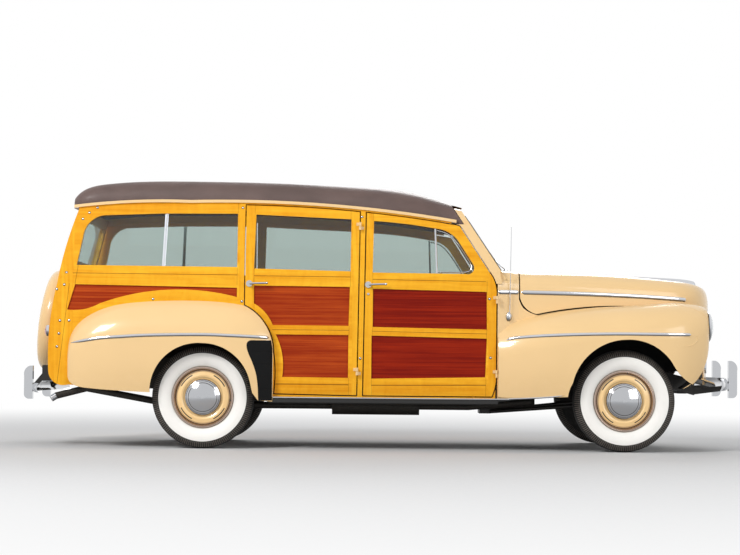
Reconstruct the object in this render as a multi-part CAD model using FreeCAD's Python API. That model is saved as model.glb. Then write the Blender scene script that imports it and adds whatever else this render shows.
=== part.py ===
# Wooden-bodied station wagon, four doors, three rows of seats, in millimetres
import FreeCAD, Part
import math
import os

V = FreeCAD.Vector

# Main sizes: stations x run forward from the rear axle, z up from the ground
WHEELBASE = 2896
FRONT_OVERHANG = 848
REAR_OVERHANG = 1286
TRACK = 1472
TYRE_R = 352
TYRE_W = 160
RIM_R = 203

# Clearances
GAP = 8
FIT = 0.3
PIN_PLAY = 0.5

# Wooden body walls
SIDE_Y = 795
BEND_Z = 1180
ROOF_SIDE_Y = 745
ROOF_SIDE_Z = 1690
WALL = 45
WALL_LOW_Z = 330
WALL_HIGH_Z = 1760
PANEL_DEPTH = 12
PANEL_T = 10
TONGUE = 8
GLASS_DEPTH = 20
GLASS_T = 6

# Doors and pillars
REAR_DOOR_X = 283
PILLAR_X = 1056
PILLAR_W = 46
FRONT_DOOR_X = 2013
DOOR_LOW_Z = 375
DOOR_TOP_DROP = 18
DOOR_HINGE_OUT = 22
HINGE_R = 9
HINGE_H = 26
HINGE_LEAF = 26
HINGE_LEAF_T = 5
HINGE_WEB = 6
PIN_GAP = 1
HANDLE_Z = 1136
HANDLE_L = 122

# Floor and frame
FLOOR_Z = 430
LOAD_FLOOR_Z = 705
FLOOR_T = 12
TUB_X = 440
TUB_TOP_Z = 812
KICK_X = 470
FIREWALL_X = 2090
FIREWALL_TOP_Z = 1130
TORQUE_TUBE_X = 1150
GEARBOX_Y = 100
GEARBOX_LOW_Z = 270
RAIL_H = 110
RAIL_W = 64
SHEET = 8
OPEN_SIDE = 60

# Rear gates
GATE_Y = 692
GATE_T = 42
TAILGATE_LOW = (-1060, 660)
TAILGATE_HIGH = (-985, 1240)
LIFTGATE_HIGH = (-882, 1652)
SPARE_R = 370
SPARE_S = 208
SPARE_DEPTH = 205
SPARE_GAP = 32
LIFT_AXIS_Z = 1636
GATE_PIN_R = 8
GATE_HINGE_Y = 420
GATE_KNUCKLE = (12, 34)

# Seats
CUSHION_T = 150
SEAT_Y = 560

# Number plate
PLATE_PITCH = 178
PLATE_R = 3.5

# Wheels and steering
KINGPIN_Y = 655
PIN_R = 12
EYE_R = 20
SPINDLE_R = 17
DRUM_R = 150
STEERING_WHEEL_R = 212

FRONT_X = WHEELBASE
HALF_TRACK = TRACK / 2
MID_X = (WHEELBASE + FRONT_OVERHANG - REAR_OVERHANG) / 2


def box(x0, x1, y0, y1, z0, z1):
    return Part.makeBox(x1 - x0, y1 - y0, z1 - z0, V(x0, y0, z0))


def rod(start, end, radius):
    axis = end - start
    return Part.makeCylinder(radius, axis.Length, start, axis)


def path(rows, place):
    """Closed wire: a row of two numbers ends a line, a row of four is an arc's middle and end."""
    edges = []
    last = rows[-1][-2:]
    for row in rows:
        end = row[-2:]
        if len(row) == 2:
            edges.append(Part.LineSegment(place(*last), place(*end)).toShape())
        else:
            edges.append(Part.Arc(place(*last), place(*row[:2]), place(*end)).toShape())
        last = end
    return Part.Wire(edges)


def side_wire(rows, y=0):
    return path(rows, lambda x, z: V(x, y, z))


def side_prism(rows, y0, y1, grow=0):
    """Outline in the side view, carried across from y0 to y1 and grown all round."""
    outline = side_wire(rows, y0)
    if grow:
        outline = outline.makeOffset2D(grow)
    return Part.Face(outline).extrude(V(0, y1 - y0, 0))


def front_prism(rows, x0, x1):
    outline = path(rows, lambda y, z: V(x0, y, z))
    return Part.Face(outline).extrude(V(x1 - x0, 0, 0))


def plan_prism(rows, z0, z1):
    outline = path(rows, lambda x, y: V(x, y, z0))
    return Part.Face(outline).extrude(V(0, 0, z1 - z0))


def mirrored(shape):
    return shape.mirror(V(0, 0, 0), V(0, 1, 0))


def both(shape):
    """The shape and its mirror image, as solids of one node."""
    return Part.makeCompound([shape, mirrored(shape)])


def fuse(shapes):
    first = shapes[0]
    return first.fuse(shapes[1:]).removeSplitter() if len(shapes) > 1 else first


def ring(profile, centre, axis=V(0, 1, 0)):
    """Closed profile of rows (radius, along), turned about the axis."""
    start = path(profile, lambda r, s: V(r, 0, s))
    solid = Part.Face(start).revolve(V(0, 0, 0), V(0, 0, 1), 360)
    solid.Placement = FreeCAD.Placement(centre, FreeCAD.Rotation(V(0, 0, 1), axis))
    return solid


def dome(r, s, rise):
    """Row for an arc that ends on the axis, from (r, s) to a crown higher by rise."""
    big = (r ** 2 + rise ** 2) / (2 * rise)
    half_turn = math.asin(r / abs(big)) / 2
    centre = s + rise - big
    return (abs(big) * math.sin(half_turn), centre + big * math.cos(half_turn), 0, s + rise)


def export(name, shape):
    moved = shape.copy()
    moved.translate(V(-MID_X, 0, 0))
    moved.exportStep("parts/" + name + ".step")


# Roof edge in the side view: the line where the roof sits on the body walls
ROOF_EDGE = [(-905, 1650), (-560, 1684, -100, 1691), (1000, 1662, 1735, 1570)]


def roof_edge(drop):
    """Everything below the roof edge, lowered by drop."""
    rows = [(-1300, 200), (-1300, 1640 - drop)]
    for row in ROOF_EDGE:
        rows.append(tuple(v - drop if i % 2 else v for i, v in enumerate(row)))
    rows += [(2200, 1480 - drop), (2200, 200)]
    return side_prism(rows, -900, 900)


def wall(depth, thick):
    """Right body wall: upright to the belt, then leaning in towards the roof."""
    lean = (SIDE_Y - ROOF_SIDE_Y) / (ROOF_SIDE_Z - BEND_Z)
    out = SIDE_Y - depth
    top = out - lean * (WALL_HIGH_Z - BEND_Z)
    rows = [(-out, WALL_LOW_Z), (-out, BEND_Z), (-top, WALL_HIGH_Z), (thick - top, WALL_HIGH_Z),
            (thick - out, BEND_Z), (thick - out, WALL_LOW_Z)]
    return front_prism(rows, -1200, 2200)


def wall_y(z):
    """How far out the wall's face is at height z."""
    lean = (SIDE_Y - ROOF_SIDE_Y) / (ROOF_SIDE_Z - BEND_Z)
    return SIDE_Y - lean * max(0, z - BEND_Z)


# Outlines of doors, windows and panels in the side view
REAR_DOOR = [(REAR_DOOR_X, 990), (430, 862, 489, 665), (499, 540, 491, DOOR_LOW_Z + 8),
             (PILLAR_X - 2, DOOR_LOW_Z), (PILLAR_X + 12, 1700), (REAR_DOOR_X + 2, 1720)]
REAR_DOOR_HOLES = [
    [(342, 1240), (353, 1615), (1010, 1588), (1007, 1227)],
    [(344, 1123), (1004, 1119), (997, 851), (475, 852), (425, 935, 344, 1000)],
    [(997, 788), (997, 494), (544, 496), (543, 650, 497, 788)],
]
FRONT_DOOR = [(PILLAR_X + PILLAR_W, DOOR_LOW_Z), (1985, DOOR_LOW_Z), (2006, 440, FRONT_DOOR_X, 560),
              (FRONT_DOOR_X, 1060), (2005, 1148, 1967, 1224), (1775, 1520), (1737, 1563, 1660, 1590),
              (1660, 1720), (PILLAR_X + PILLAR_W + 15, 1720)]
FRONT_DOOR_HOLES = [
    [(1160, 1220), (1800, 1216), (1850, 1232, 1852, 1282), (1760, 1427), (1700, 1492, 1594, 1529),
     (1400, 1558, 1166, 1578)],
    [(1163, 845), (1163, 1108), (1946, 1094), (1949, 835)],
    [(1156, 490), (1156, 786), (1949, 772), (1940, 506)],
]
QUARTER = [(-871, 1647), (-962, 1360, -1010, 1130), (-1060, 830, -1064, 528), (-1040, 462, -927, 430),
           (-520, 402), (-10, 895, 480, 495), (480, WALL_LOW_Z), (560, WALL_LOW_Z),
           (560, 1720), (-871, 1720)]
QUARTER_HOLE = [(-880, 1253), (-839, 1464), (-792, 1555, -700, 1600), (-300, 1616), (226, 1620),
                (226, 1249)]
QUARTER_PANEL = [(-888, 1120), (227, 1106), (227, 1042), (-200, 1090, -715, 990), (-830, 948, -940, 945)]


# Wheels
def tyre(x, y):
    """Tyre with round shoulders, centred on its wheel plane."""
    half = TYRE_W / 2
    bead = half * 0.7
    rows = [(RIM_R + FIT, -bead), (RIM_R + 10, -bead), (280, -half - 4, TYRE_R - 14, -half * 0.72),
            (TYRE_R, 0, TYRE_R - 14, half * 0.72), (280, half + 4, RIM_R + 10, bead),
            (RIM_R + FIT, bead)]
    return ring(rows, V(x, y, TYRE_R))


def wheel(x, side):
    """Pressed wheel with rim, dished disc, brake drum and hub cap; side is -1 right, 1 left."""
    bead = TYRE_W * 0.35 + FIT
    bore = SPINDLE_R + FIT
    rows = [(bore, -40), (DRUM_R, -40), (DRUM_R, 12), (178, 26), (RIM_R - 8, 20), (RIM_R - 8, -bead),
            (RIM_R + 8, -bead - 2), (RIM_R + 8, -bead), (RIM_R, -bead), (RIM_R, bead),
            (RIM_R + 8, bead), (RIM_R + 8, bead + 5), (RIM_R - 6, bead + 5), (RIM_R - 16, 36),
            (150, 46), (122, 34), (121, 54), dome(121, 54, 32), (0, 66), (bore, 66)]
    return ring(rows, V(x, side * HALF_TRACK, TYRE_R), V(0, side, 0))


def knuckle():
    """Right steering knuckle: king pin, two lugs, web, backing plate and spindle."""
    pin = V(FRONT_X, -KINGPIN_Y, TYRE_R)
    face = HALF_TRACK - 46
    lugs = [box(pin.x - 22, pin.x + 22, -face, pin.y + 22, pin.z + s * 50 - 11, pin.z + s * 50 + 11)
            for s in (-1, 1)]
    web = box(pin.x - 22, pin.x + 22, -face, -face + 8, pin.z - 61, pin.z + 61)
    plate = rod(V(pin.x, -face, pin.z), V(pin.x, -face - 5, pin.z), DRUM_R - 8)
    spindle = rod(V(pin.x, -face, pin.z), V(pin.x, -HALF_TRACK - 60, pin.z), SPINDLE_R)
    king = rod(pin - V(0, 0, 61), pin + V(0, 0, 61), PIN_R)
    return fuse(lugs + [web, plate, spindle, king])


def leaf_spring(x, half_span, top, drop):
    """Transverse spring: a stack of bowed leaves, each shorter than the one below."""
    leaves = []
    for n in range(5):
        span = half_span * (1 - 0.17 * n)
        sag = drop * (span / half_span) ** 2
        z = top - 8 * (4 - n)
        rows = [(-span, z - sag), (0, z, span, z - sag), (span, z - sag + 8), (0, z + 8, -span, z - sag + 8)]
        leaves.append(front_prism(rows, x - 25, x + 25))
    return fuse(leaves)


def front_axle():
    """Forged beam with eyes for the king pins, radius rods and the transverse spring."""
    eye_y = KINGPIN_Y
    beam = fuse([
        box(FRONT_X - 22, FRONT_X + 22, -eye_y + 18, eye_y - 18, 318, 326),
        box(FRONT_X - 22, FRONT_X + 22, -eye_y + 18, eye_y - 18, 364, 372),
        box(FRONT_X - 6, FRONT_X + 6, -eye_y + 18, eye_y - 18, 322, 368),
    ])
    parts = [beam]
    for s in (-1, 1):
        base = V(FRONT_X, s * eye_y, TYRE_R - 38)
        parts.append(Part.makeCylinder(EYE_R, 76, base))
        parts.append(rod(V(FRONT_X - 10, s * 560, 335), V(FRONT_X - 900, s * 90, GEARBOX_LOW_Z - 17), 14))
        parts.append(box(FRONT_X - 20, FRONT_X + 20, s * 520 - 12, s * 520 + 12, 366, 402))
    parts.append(leaf_spring(FRONT_X, 530, 450, 62))
    parts.append(box(FRONT_X - 960, FRONT_X - 880, -110, 110, GEARBOX_LOW_Z - 30, GEARBOX_LOW_Z - FIT))
    solid = fuse(parts)
    for s in (-1, 1):
        solid = solid.cut(rod(V(FRONT_X, s * eye_y, 280), V(FRONT_X, s * eye_y, 430), PIN_R + PIN_PLAY))
    return solid


def rear_axle():
    """Banjo housing with axle tubes, shafts, torque tube and the transverse spring."""
    face = HALF_TRACK - 46
    banjo = Part.makeSphere(150, V(0, 0, TYRE_R))
    slot = box(-160, 160, -85, 85, 180, 520)
    parts = [banjo.common(slot), rod(V(0, 0, TYRE_R), V(TORQUE_TUBE_X, 0, TYRE_R + 3), 38)]
    for s in (-1, 1):
        parts.append(rod(V(0, 0, TYRE_R), V(0, s * face, TYRE_R), 38))
        parts.append(rod(V(0, s * face, TYRE_R), V(0, s * (face + 5), TYRE_R), DRUM_R - 8))
        parts.append(rod(V(0, s * face, TYRE_R), V(0, s * (HALF_TRACK + 60), TYRE_R), SPINDLE_R))
        parts.append(rod(V(0, s * 560, TYRE_R), V(650, s * 45, TYRE_R), 15))
        parts.append(box(-120, -80, s * 540 - 14, s * 540 + 14, 330, 452))
        parts.append(box(-120, 0, s * 540 - 14, s * 540 + 14, 330, 372))
    parts.append(leaf_spring(-100, 560, 500, 62))
    return fuse(parts)


# Frame
FRAME_END_X = FRONT_X + 544
REAR_FRAME_X = -1150
SPRING_TOP_Z = 458
CORE_LOW_Z = 470
RAIL_ROWS = [
    # x, y of the rail's middle, z of its top
    (REAR_FRAME_X, 470, 560), (-420, 470, 560), (-330, 470, 620), (250, 470, 620),
    (440, 470, FLOOR_Z - FLOOR_T), (FRONT_X - 981, 440, FLOOR_Z - FLOOR_T), (FRONT_X - 546, 350, 480),
    (FRONT_X - 246, 350, 575), (FRONT_X + 254, 350, 575), (FRAME_END_X, 350, 500),
]


def rail():
    """Right frame rail, a channel that kicks up over the rear axle."""
    pieces = []
    for (xa, ya, za), (xb, yb, zb) in zip(RAIL_ROWS, RAIL_ROWS[1:]):
        inner, outer = RAIL_W / 2 - ya, -RAIL_W / 2 - ya
        rows = [(outer, za - RAIL_H), (inner, za - RAIL_H), (inner, za), (outer, za)]
        end = Part.Face(path(rows, lambda y, z: V(xa, y, z)))
        pieces.append(end.extrude(V(xb - xa, ya - yb, zb - za)))
    return fuse(pieces)


CROSS_ROWS = [
    # x0, x1, inner end, outer end, z0, z1
    (-860, -800, 0, 470, 450, 520), (-140, -60, 0, 470, 540, 600), (760, 840, 60, 460, 330, 400),
    (1650, 1730, GEARBOX_Y + FIT, 450, 330, 400),
    (FRONT_X - 40, FRONT_X + 40, 0, 350, SPRING_TOP_Z + FIT, 500),
    (FRONT_X + 254, FRONT_X + 344, 0, 350, 410, CORE_LOW_Z),
    (FRAME_END_X - 110, FRAME_END_X - 50, 0, 350, 400, 470),
]


def chassis_frame():
    right = rail()
    parts = [right, mirrored(right)]
    for x0, x1, near, far, z0, z1 in CROSS_ROWS:
        for s in (-1, 1):
            parts.append(box(x0, x1, *sorted((s * near, s * far)), z0, z1))
    sill = SIDE_Y - WALL - FIT
    for s in (-1, 1):
        for x in (600, 1250, 1900):
            parts.append(box(x - 30, x + 30, *sorted((s * 440, s * sill)), 350, 400))
    return fuse(parts)


def exhaust():
    """Silencer and pipes, ending in a tail pipe behind the rear wheel."""
    z = 290
    points = [V(2300, -250, 330), V(1850, -250, z), V(700, -250, z), V(250, -300, z), V(-250, -330, z),
              V(-850, -400, 400), V(-1060, -440, 345), V(-1092, -450, 325)]
    section = Part.Wire(Part.makeCircle(24, points[0], points[0] - points[1]))
    pipe = Part.makePolygon(points).makePipeShell([section], True, False, 1)
    return fuse([pipe, rod(V(1500, -250, z), V(880, -250, z), 62)])


def fuel_tank():
    tank = box(-780, -330, -330, 330, 400, 590)
    edges = [e for e in tank.Edges if abs(e.tangentAt(e.FirstParameter).y) > 0.9]
    rail_face = RAIL_ROWS[0][1] - RAIL_W / 2 - FIT
    flange = box(-740, -440, -rail_face, rail_face, 490, 496)
    return fuse([tank.makeFillet(30, edges), flange])


def engine_block():
    """Engine, gearbox and radiator core, closed inside."""
    block = fuse([
        box(FRONT_X - 566, FRONT_X - 66, -230, 230, 500 + FIT, 960),
        box(FRONT_X - 786, FRONT_X - 566, -160, 160, 300, 640),
        box(TORQUE_TUBE_X + FIT, FRONT_X - 566, -GEARBOX_Y, GEARBOX_Y, GEARBOX_LOW_Z, 410),
    ])
    core = box(FRONT_X + 264, FRONT_X + 334, -300, 300, CORE_LOW_Z + FIT, 960)
    return Part.makeCompound([block, core])


# Body floor
def floor_pan():
    """Pressed floor: front footwells, kick-up, load floor, wheel houses and firewall."""
    inner = SIDE_Y - WALL - 2
    low, high, t = FLOOR_Z, LOAD_FLOOR_Z, FLOOR_T
    rear = TAILGATE_LOW[0] + GATE_T + 14
    wall_x, toe_x = FIREWALL_X, FIREWALL_X - 180
    side = [(KICK_X - t, high), (rear, high), (rear, high - 45), (rear + 20, high - 45),
            (rear + 20, high - t), (KICK_X - t * 2, high - t), (KICK_X, low - t), (toe_x, low - t),
            (wall_x, low + 160), (wall_x, FIREWALL_TOP_Z), (wall_x - t, FIREWALL_TOP_Z),
            (wall_x - t, low + 166), (toe_x - 4, low), (KICK_X + t, low), (KICK_X + 2, high - t)]
    pan = side_prism(side, -inner, inner)
    tub_y = HALF_TRACK - TYRE_W / 2 - 26
    for s in (-1, 1):
        pan = pan.cut(box(-TUB_X, TUB_X, *sorted((s * tub_y, s * 900)), 300, 900))
    parts = [pan]
    for s in (-1, 1):
        a, b = sorted((s * (tub_y - t), s * inner))
        c, d = sorted((s * tub_y, s * (inner + 5)))
        tub = box(-TUB_X - t, TUB_X + t, a, b, high - 30, TUB_TOP_Z)
        tub = tub.cut(box(-TUB_X, TUB_X, c, d, 300, TUB_TOP_Z - t))
        parts.append(tub)
    x, z = TAILGATE_LOW
    leaf = [(x - 6, z - 4), (x + GATE_T + 2, z - 11), (rear + 1, z - 11), (rear + 1, z + 4),
            (rear + 20, z + 4), (rear + 20, z - 19), (x + 20, z - 19), (x - 6, z - 7)]
    return fuse(parts + gate_knuckles(x, z, False) + gate_leaves(leaf))


# Roof and cowl sections: upright sides, shoulder arcs and one crown arc
def crown(x, half, z_base, z_side, z_top, shoulder):
    h = z_top - z_side
    big = (half ** 2 + h ** 2 - 2 * half * shoulder) / (2 * (h - shoulder))
    uy = (half - shoulder) / (big - shoulder)
    uz = (big - h) / (big - shoulder)
    ty, tz = big * uy, z_top - big + big * uz
    turn = math.atan2(uz, uy) / 2
    my = half - shoulder + shoulder * math.cos(turn)
    mz = z_side + shoulder * math.sin(turn)
    rows = [(half, z_side), (my, mz, ty, tz), (0, z_top, -ty, tz), (-my, mz, -half, z_side),
            (-half, z_base), (half, z_base)]
    return path(rows, lambda y, z: V(x, y, z))


def shell_loft(rows, z_base, inset):
    """Loft through crown sections, all drawn in by inset."""
    wires = []
    for x, half, z_side, z_top, shoulder in rows:
        wires.append(crown(x, half - inset, z_base, z_side, z_top - inset, shoulder - inset))
    return Part.makeLoft(wires, True, False)


ROOF_T = 26
SCREEN_LOW_Z = 1235
DRIP_OUT = 13
DRIP_H = 20
ROOF_ROWS = [
    # x, half width, top of the upright edge, crown height, shoulder radius
    (-915, 684, 1670, 1744, 52), (-870, 722, 1686, 1794, 82), (-680, 745, 1706, 1844, 120),
    (-100, 752, 1714, 1873, 135), (480, 752, 1706, 1871, 135), (1063, 750, 1684, 1848, 130),
    (1500, 738, 1634, 1800, 125), (1790, 712, 1582, 1710, 100),
]


def moved_end(rows, first, last):
    """The same rows with the end stations moved inwards."""
    return ([(rows[0][0] + first,) + rows[0][1:]] + rows[1:-1] + [(rows[-1][0] - last,) + rows[-1][1:]])


def screen_strip(y0, y1, front, back, z0=SCREEN_LOW_Z, z1=1700):
    """Slab in the windscreen's slope, swept back from the centre on each side."""
    sweep = (SCREEN_SIDE_X - SCREEN_FOOT_X) / SIDE_Y
    slope = (SCREEN_HEAD_X - SCREEN_FOOT_X) / (SCREEN_HEAD_Z - SCREEN_FOOT_Z)
    low_x = SCREEN_FOOT_X + slope * (z0 - SCREEN_FOOT_Z)
    high_x = SCREEN_FOOT_X + slope * (z1 - SCREEN_FOOT_Z)
    rows = [(low_x + front, z0), (high_x + front, z1), (high_x + back, z1), (low_x + back, z0)]
    solids = []
    for s in (-1, 1):
        outline = side_wire(rows, 0)
        outline.translate(V(sweep * y0, s * y0, 0))
        solids.append(Part.Face(outline).extrude(V(sweep * (y1 - y0), s * (y1 - y0), 0)))
    return solids


SCREEN_FOOT_X = 2108
SCREEN_FOOT_Z = 1250
SCREEN_HEAD_Z = 1660
SCREEN_SIDE_X = 2036
SCREEN_HEAD_X = 1832
LIGHT_Y = 668
CROWN_FOOT_Z = 1560
HEADER_END_X = 1700
COWL_ROWS = [
    (2022, 793, 1130, 1262, 115), (2095, 768, 1126, 1258, 115), (2172, 738, 1120, 1252, 115),
]
HOOD_ROWS = [
    (2180, 736, 1118, 1251, 115), (2500, 700, 1105, 1247, 125), (2900, 636, 1090, 1236, 130),
    (3250, 556, 1072, 1210, 122), (3430, 462, 1058, 1190, 116), (3525, 330, 1036, 1158, 105),
    (3566, 170, 1000, 1085, 78),
]
HOOD_SEAM = [(2180, 1060), (2206, 1002, 2297, 946), (2640, 1000, 3020, 1007), (3300, 1000, 3600, 992)]


def above_seam(rise):
    """Everything above the hood's lower edge, lifted by rise."""
    rows = [(2000, 1400), (2000, 1062 + rise)]
    for row in HOOD_SEAM:
        rows.append(tuple(v + rise if i % 2 else v for i, v in enumerate(row)))
    rows += [(3700, 990 + rise), (3700, 1400)]
    return side_prism(rows, -900, 900)


def hood():
    """Long one-piece bonnet, hollow below, open at the cowl."""
    outer = shell_loft(HOOD_ROWS, 900, 0)
    inner = shell_loft(moved_end(HOOD_ROWS, -40, SHEET), 860, SHEET)
    skin = outer.cut(inner)
    return skin.common(above_seam(0))


def envelope(inset):
    """Inside of the body walls, as a prism along x."""
    half, top = SIDE_Y - inset, wall_y(WALL_HIGH_Z) - inset
    rows = [(-half, 300), (-half, BEND_Z), (-top, WALL_HIGH_Z), (top, WALL_HIGH_Z), (half, BEND_Z),
            (half, 300)]
    return front_prism(rows, -1200, 2300)


def front_door_hole(grow, y_in=650, y_out=960):
    hole = side_prism(FRONT_DOOR, -y_out, -y_in, grow)
    return hole.common(roof_edge(DOOR_TOP_DROP - grow))


def rear_door_hole(grow, y_in=650, y_out=960):
    hole = side_prism(REAR_DOOR, -y_out, -y_in, grow)
    return hole.common(roof_edge(DOOR_TOP_DROP - grow))


def cowl():
    """Cowl with the windscreen frame, its two slanting posts and the header."""
    outer = shell_loft(COWL_ROWS, 360, 0)
    inner = shell_loft(moved_end(COWL_ROWS, -20, -20), 340, SHEET)
    skin = outer.cut(inner)
    skin = skin.cut(side_prism([(1900, 1150), (2036, 1150), (2060, 1300), (1900, 1300)], -700, 700))
    frame = screen_strip(0, 790, 0, -42)
    lights = screen_strip(26, LIGHT_Y, 60, -120, 1272, 1622)
    corners = screen_strip(LIGHT_Y + 4, 768, 0, -42, 1180, 1300)
    frame = [f.cut(g) for f, g in zip(frame, lights)] + corners
    end_x = HEADER_END_X + FIT
    post = [(2052, 1150), (2036, 1240), (1735, 1640), (end_x, 1640), (end_x, 1575), (1775, 1480),
            (1950, 1200), (1990, 1150)]
    posts = wall(0, WALL).common(side_prism(post, -900, -600))
    ring_parts = [f.common(envelope(0)) for f in frame] + [posts, mirrored(posts)]
    crown_cap = shell_loft([(1500, 738, 1620, 1790, 125), (1790, 712, 1570, 1704, 100),
                            (2200, 712, 1570, 1704, 100)], 300, 4)
    crown_cap = fuse([crown_cap, box(1500, 2200, -900, 900, 300, CROWN_FOOT_Z)])
    solid = fuse([skin] + [r.common(crown_cap) for r in ring_parts])
    hole = front_door_hole(GAP)
    solid = largest(solid.cut(hole).cut(mirrored(hole)))
    hinges = [hinge_half(pin, FRONT_AXIS, False, HINGE_WEB * 2) for pin in FRONT_AXIS]
    return fuse([solid] + hinges + [mirrored(h) for h in hinges])


def fixed_glass():
    """Two flat windscreen panes and the sliding panes of both rear quarters."""
    panes = screen_strip(26 + FIT, LIGHT_Y - FIT, -14, -20, 1272 + FIT, 1622 - FIT)
    side = wall(GLASS_DEPTH, GLASS_T).common(side_prism(QUARTER_HOLE, -900, -600, -FIT))
    return Part.makeCompound(panes + [side, mirrored(side)])


def roof(cowl_solid):
    outer = shell_loft(ROOF_ROWS, 1500, 0)
    inner = shell_loft(moved_end(ROOF_ROWS, ROOF_T, -40), 1480, ROOF_T)
    skin = outer.cut(inner).cut(roof_edge(0))
    header = screen_strip(0, 800, 400, -46)
    for piece in header:
        skin = skin.cut(piece)
    moulding = wall(-DRIP_OUT, DRIP_OUT + 60).common(roof_edge(-DRIP_H)).cut(roof_edge(0))
    rear, front = ROOF_EDGE[0][0], ROOF_EDGE[-1][-2]
    moulding = moulding.common(box(rear, front, -900, 900, 1500, 1800)).cut(inner)
    skin = largest(fuse([skin, moulding, mirrored(moulding)]).cut(cowl_solid))
    x, z = lift_axis_x(), LIFT_AXIS_Z
    leaf = [(-913, z + 9), (-913, z + 20), (x - 4, z + 10), (x + 1, z + 2), (x - 6, z + 2)]
    return fuse([skin] + gate_knuckles(x, z, False) + gate_leaves(leaf))


# Body sides
def body_side():
    """Right wooden wall: rear post, quarter with its panel, centre pillar, sill and header."""
    rows_header = [(-871, 1500), (HEADER_END_X, 1500), (HEADER_END_X, 1720), (-871, 1720)]
    region = fuse([
        side_prism(QUARTER, -900, -600),
        side_prism([(PILLAR_X - 60, WALL_LOW_Z), (PILLAR_X + 110, WALL_LOW_Z), (PILLAR_X + 110, 1720),
                    (PILLAR_X - 60, 1720)], -900, -600),
        side_prism([(480, WALL_LOW_Z), (2010, WALL_LOW_Z), (2010, 420), (480, 420)], -900, -600),
        side_prism(rows_header, -900, -600),
    ])
    solid = wall(0, WALL).common(region).common(roof_edge(0))
    solid = solid.cut(rear_door_hole(GAP)).cut(front_door_hole(GAP))
    solid = solid.cut(side_prism(QUARTER_HOLE, -900, -600))
    back = side_prism(QUARTER_PANEL, -900, -600)
    solid = solid.cut(back.common(wall(0, PANEL_DEPTH)))
    inner_rail = [(-880, 1500), (1640, 1500), (1640, 1720), (-880, 1720)]
    rail_y = ROOF_SIDE_Y - WALL - GAP
    strip = side_prism(inner_rail, -rail_y, -rail_y + 32).common(roof_edge(0)).cut(roof_edge(50))
    cap = side_prism(inner_rail, -rail_y - GAP - 6, -rail_y + 32).common(roof_edge(0))
    cap = cap.cut(roof_edge(DOOR_TOP_DROP - GAP))
    hinges = [hinge_half(pin, REAR_AXIS, False, HINGE_LEAF) for pin in REAR_AXIS]
    return fuse([solid, strip, cap] + hinges)


def door(holes, region):
    """Framed wooden door with a cut window and two sunk panels."""
    slab = wall(0, WALL).common(region)
    for rows in holes:
        slab = slab.cut(side_prism(rows, -900, -600))
    leaves = [slab]
    for rows in holes[1:]:
        leaves.append(wall(PANEL_DEPTH, PANEL_T).common(side_prism(rows, -900, -600, TONGUE)))
    return fuse(leaves)


# Door hinges: lower and upper pin of each door's axis, as (x, y, z)
def axis_point(x, z):
    return V(x, -(wall_y(z) + DOOR_HINGE_OUT), z)


REAR_AXIS = (axis_point(PILLAR_X + 2, 538), axis_point(PILLAR_X + 15, 1540))
FRONT_AXIS = (axis_point(FRONT_DOOR_X + 4, 531), axis_point(FRONT_DOOR_X + 4, 1040))


def hinge_half(pin, axis, moving, reach):
    """One half of a hinge: a knuckle on the axis, and a leaf let into what carries it.

    The moving half is above the pin's middle and reaches back, the fixed one is below and reaches forward.
    """
    unit = (axis[1] - axis[0]).normalize()
    turn = -1 if moving else 1
    start = pin + unit * (PIN_GAP if moving else -HINGE_H)
    end = pin + unit * (HINGE_H if moving else -PIN_GAP)
    z0, z1 = start.z + 2, end.z - 2
    face = wall_y(pin.z)
    web_x = pin.x + turn * HINGE_WEB
    neck = box(*sorted((pin.x, web_x)), pin.y - 3, pin.y + 3, z0, z1)
    web = box(*sorted((web_x, web_x + turn * HINGE_WEB)), pin.y - 3, 12 - face, z0, z1)
    leaf = box(*sorted((web_x, pin.x + turn * reach)), -face - HINGE_LEAF_T, 12 - face, z0, z1)
    return fuse([rod(start, end, HINGE_R), neck, web, leaf])


def handle(x, z):
    """Lever handle with its round escutcheon, pointing forward."""
    face = wall_y(z)
    plate = rod(V(x, -face + 3, z), V(x, -face - 8, z), 22)
    stem = rod(V(x, -face, z), V(x, -face - 42, z), 9)
    lever = rod(V(x, -face - 36, z), V(x + HANDLE_L, -face - 36, z + 4), 7)
    tip = Part.makeSphere(9, V(x + HANDLE_L, -face - 36, z + 4))
    return fuse([plate, stem, lever, tip])


# Fenders: a quarter-round top, an upright bulge and a tucked-in lower edge
def fender_section(x, y_in, z_in, y_out, z_mid, y_low, z_low, inset, drop=OPEN_SIDE):
    rise, run = z_in - z_mid, y_out - y_in
    top_r = (run ** 2 + rise ** 2) / (2 * run)
    full = math.atan2(rise, y_in - y_out + top_r)
    if inset:
        full = math.acos((y_in - y_out + top_r) / (top_r - inset)) if top_r > inset else full
    r = top_r - inset
    cy = y_out - top_r
    end = (cy + r * math.cos(full), z_mid + r * math.sin(full))
    mid = (cy + r * math.cos(full / 2), z_mid + r * math.sin(full / 2))
    fall, tuck = z_mid - z_low, y_out - y_low
    low_r = (tuck ** 2 + fall ** 2) / (2 * tuck)
    swing = math.asin(fall / low_r)
    q = low_r - inset
    ly = y_out - low_r
    low_mid = (ly + q * math.cos(swing / 2), z_mid - q * math.sin(swing / 2))
    low = (ly + q * math.cos(swing), z_mid - q * math.sin(swing))
    curve = [mid + (y_out - inset, z_mid), low_mid + low]
    if inset:
        inboard = y_in - OPEN_SIDE
        rows = [(inboard, low[1] - drop), (inboard, end[1]), end] + curve + [(low[0], low[1] - drop)]
    else:
        rows = [(y_in, low[1]), end] + curve
    return path(rows, lambda y, z: V(x, -y, z))


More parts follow.
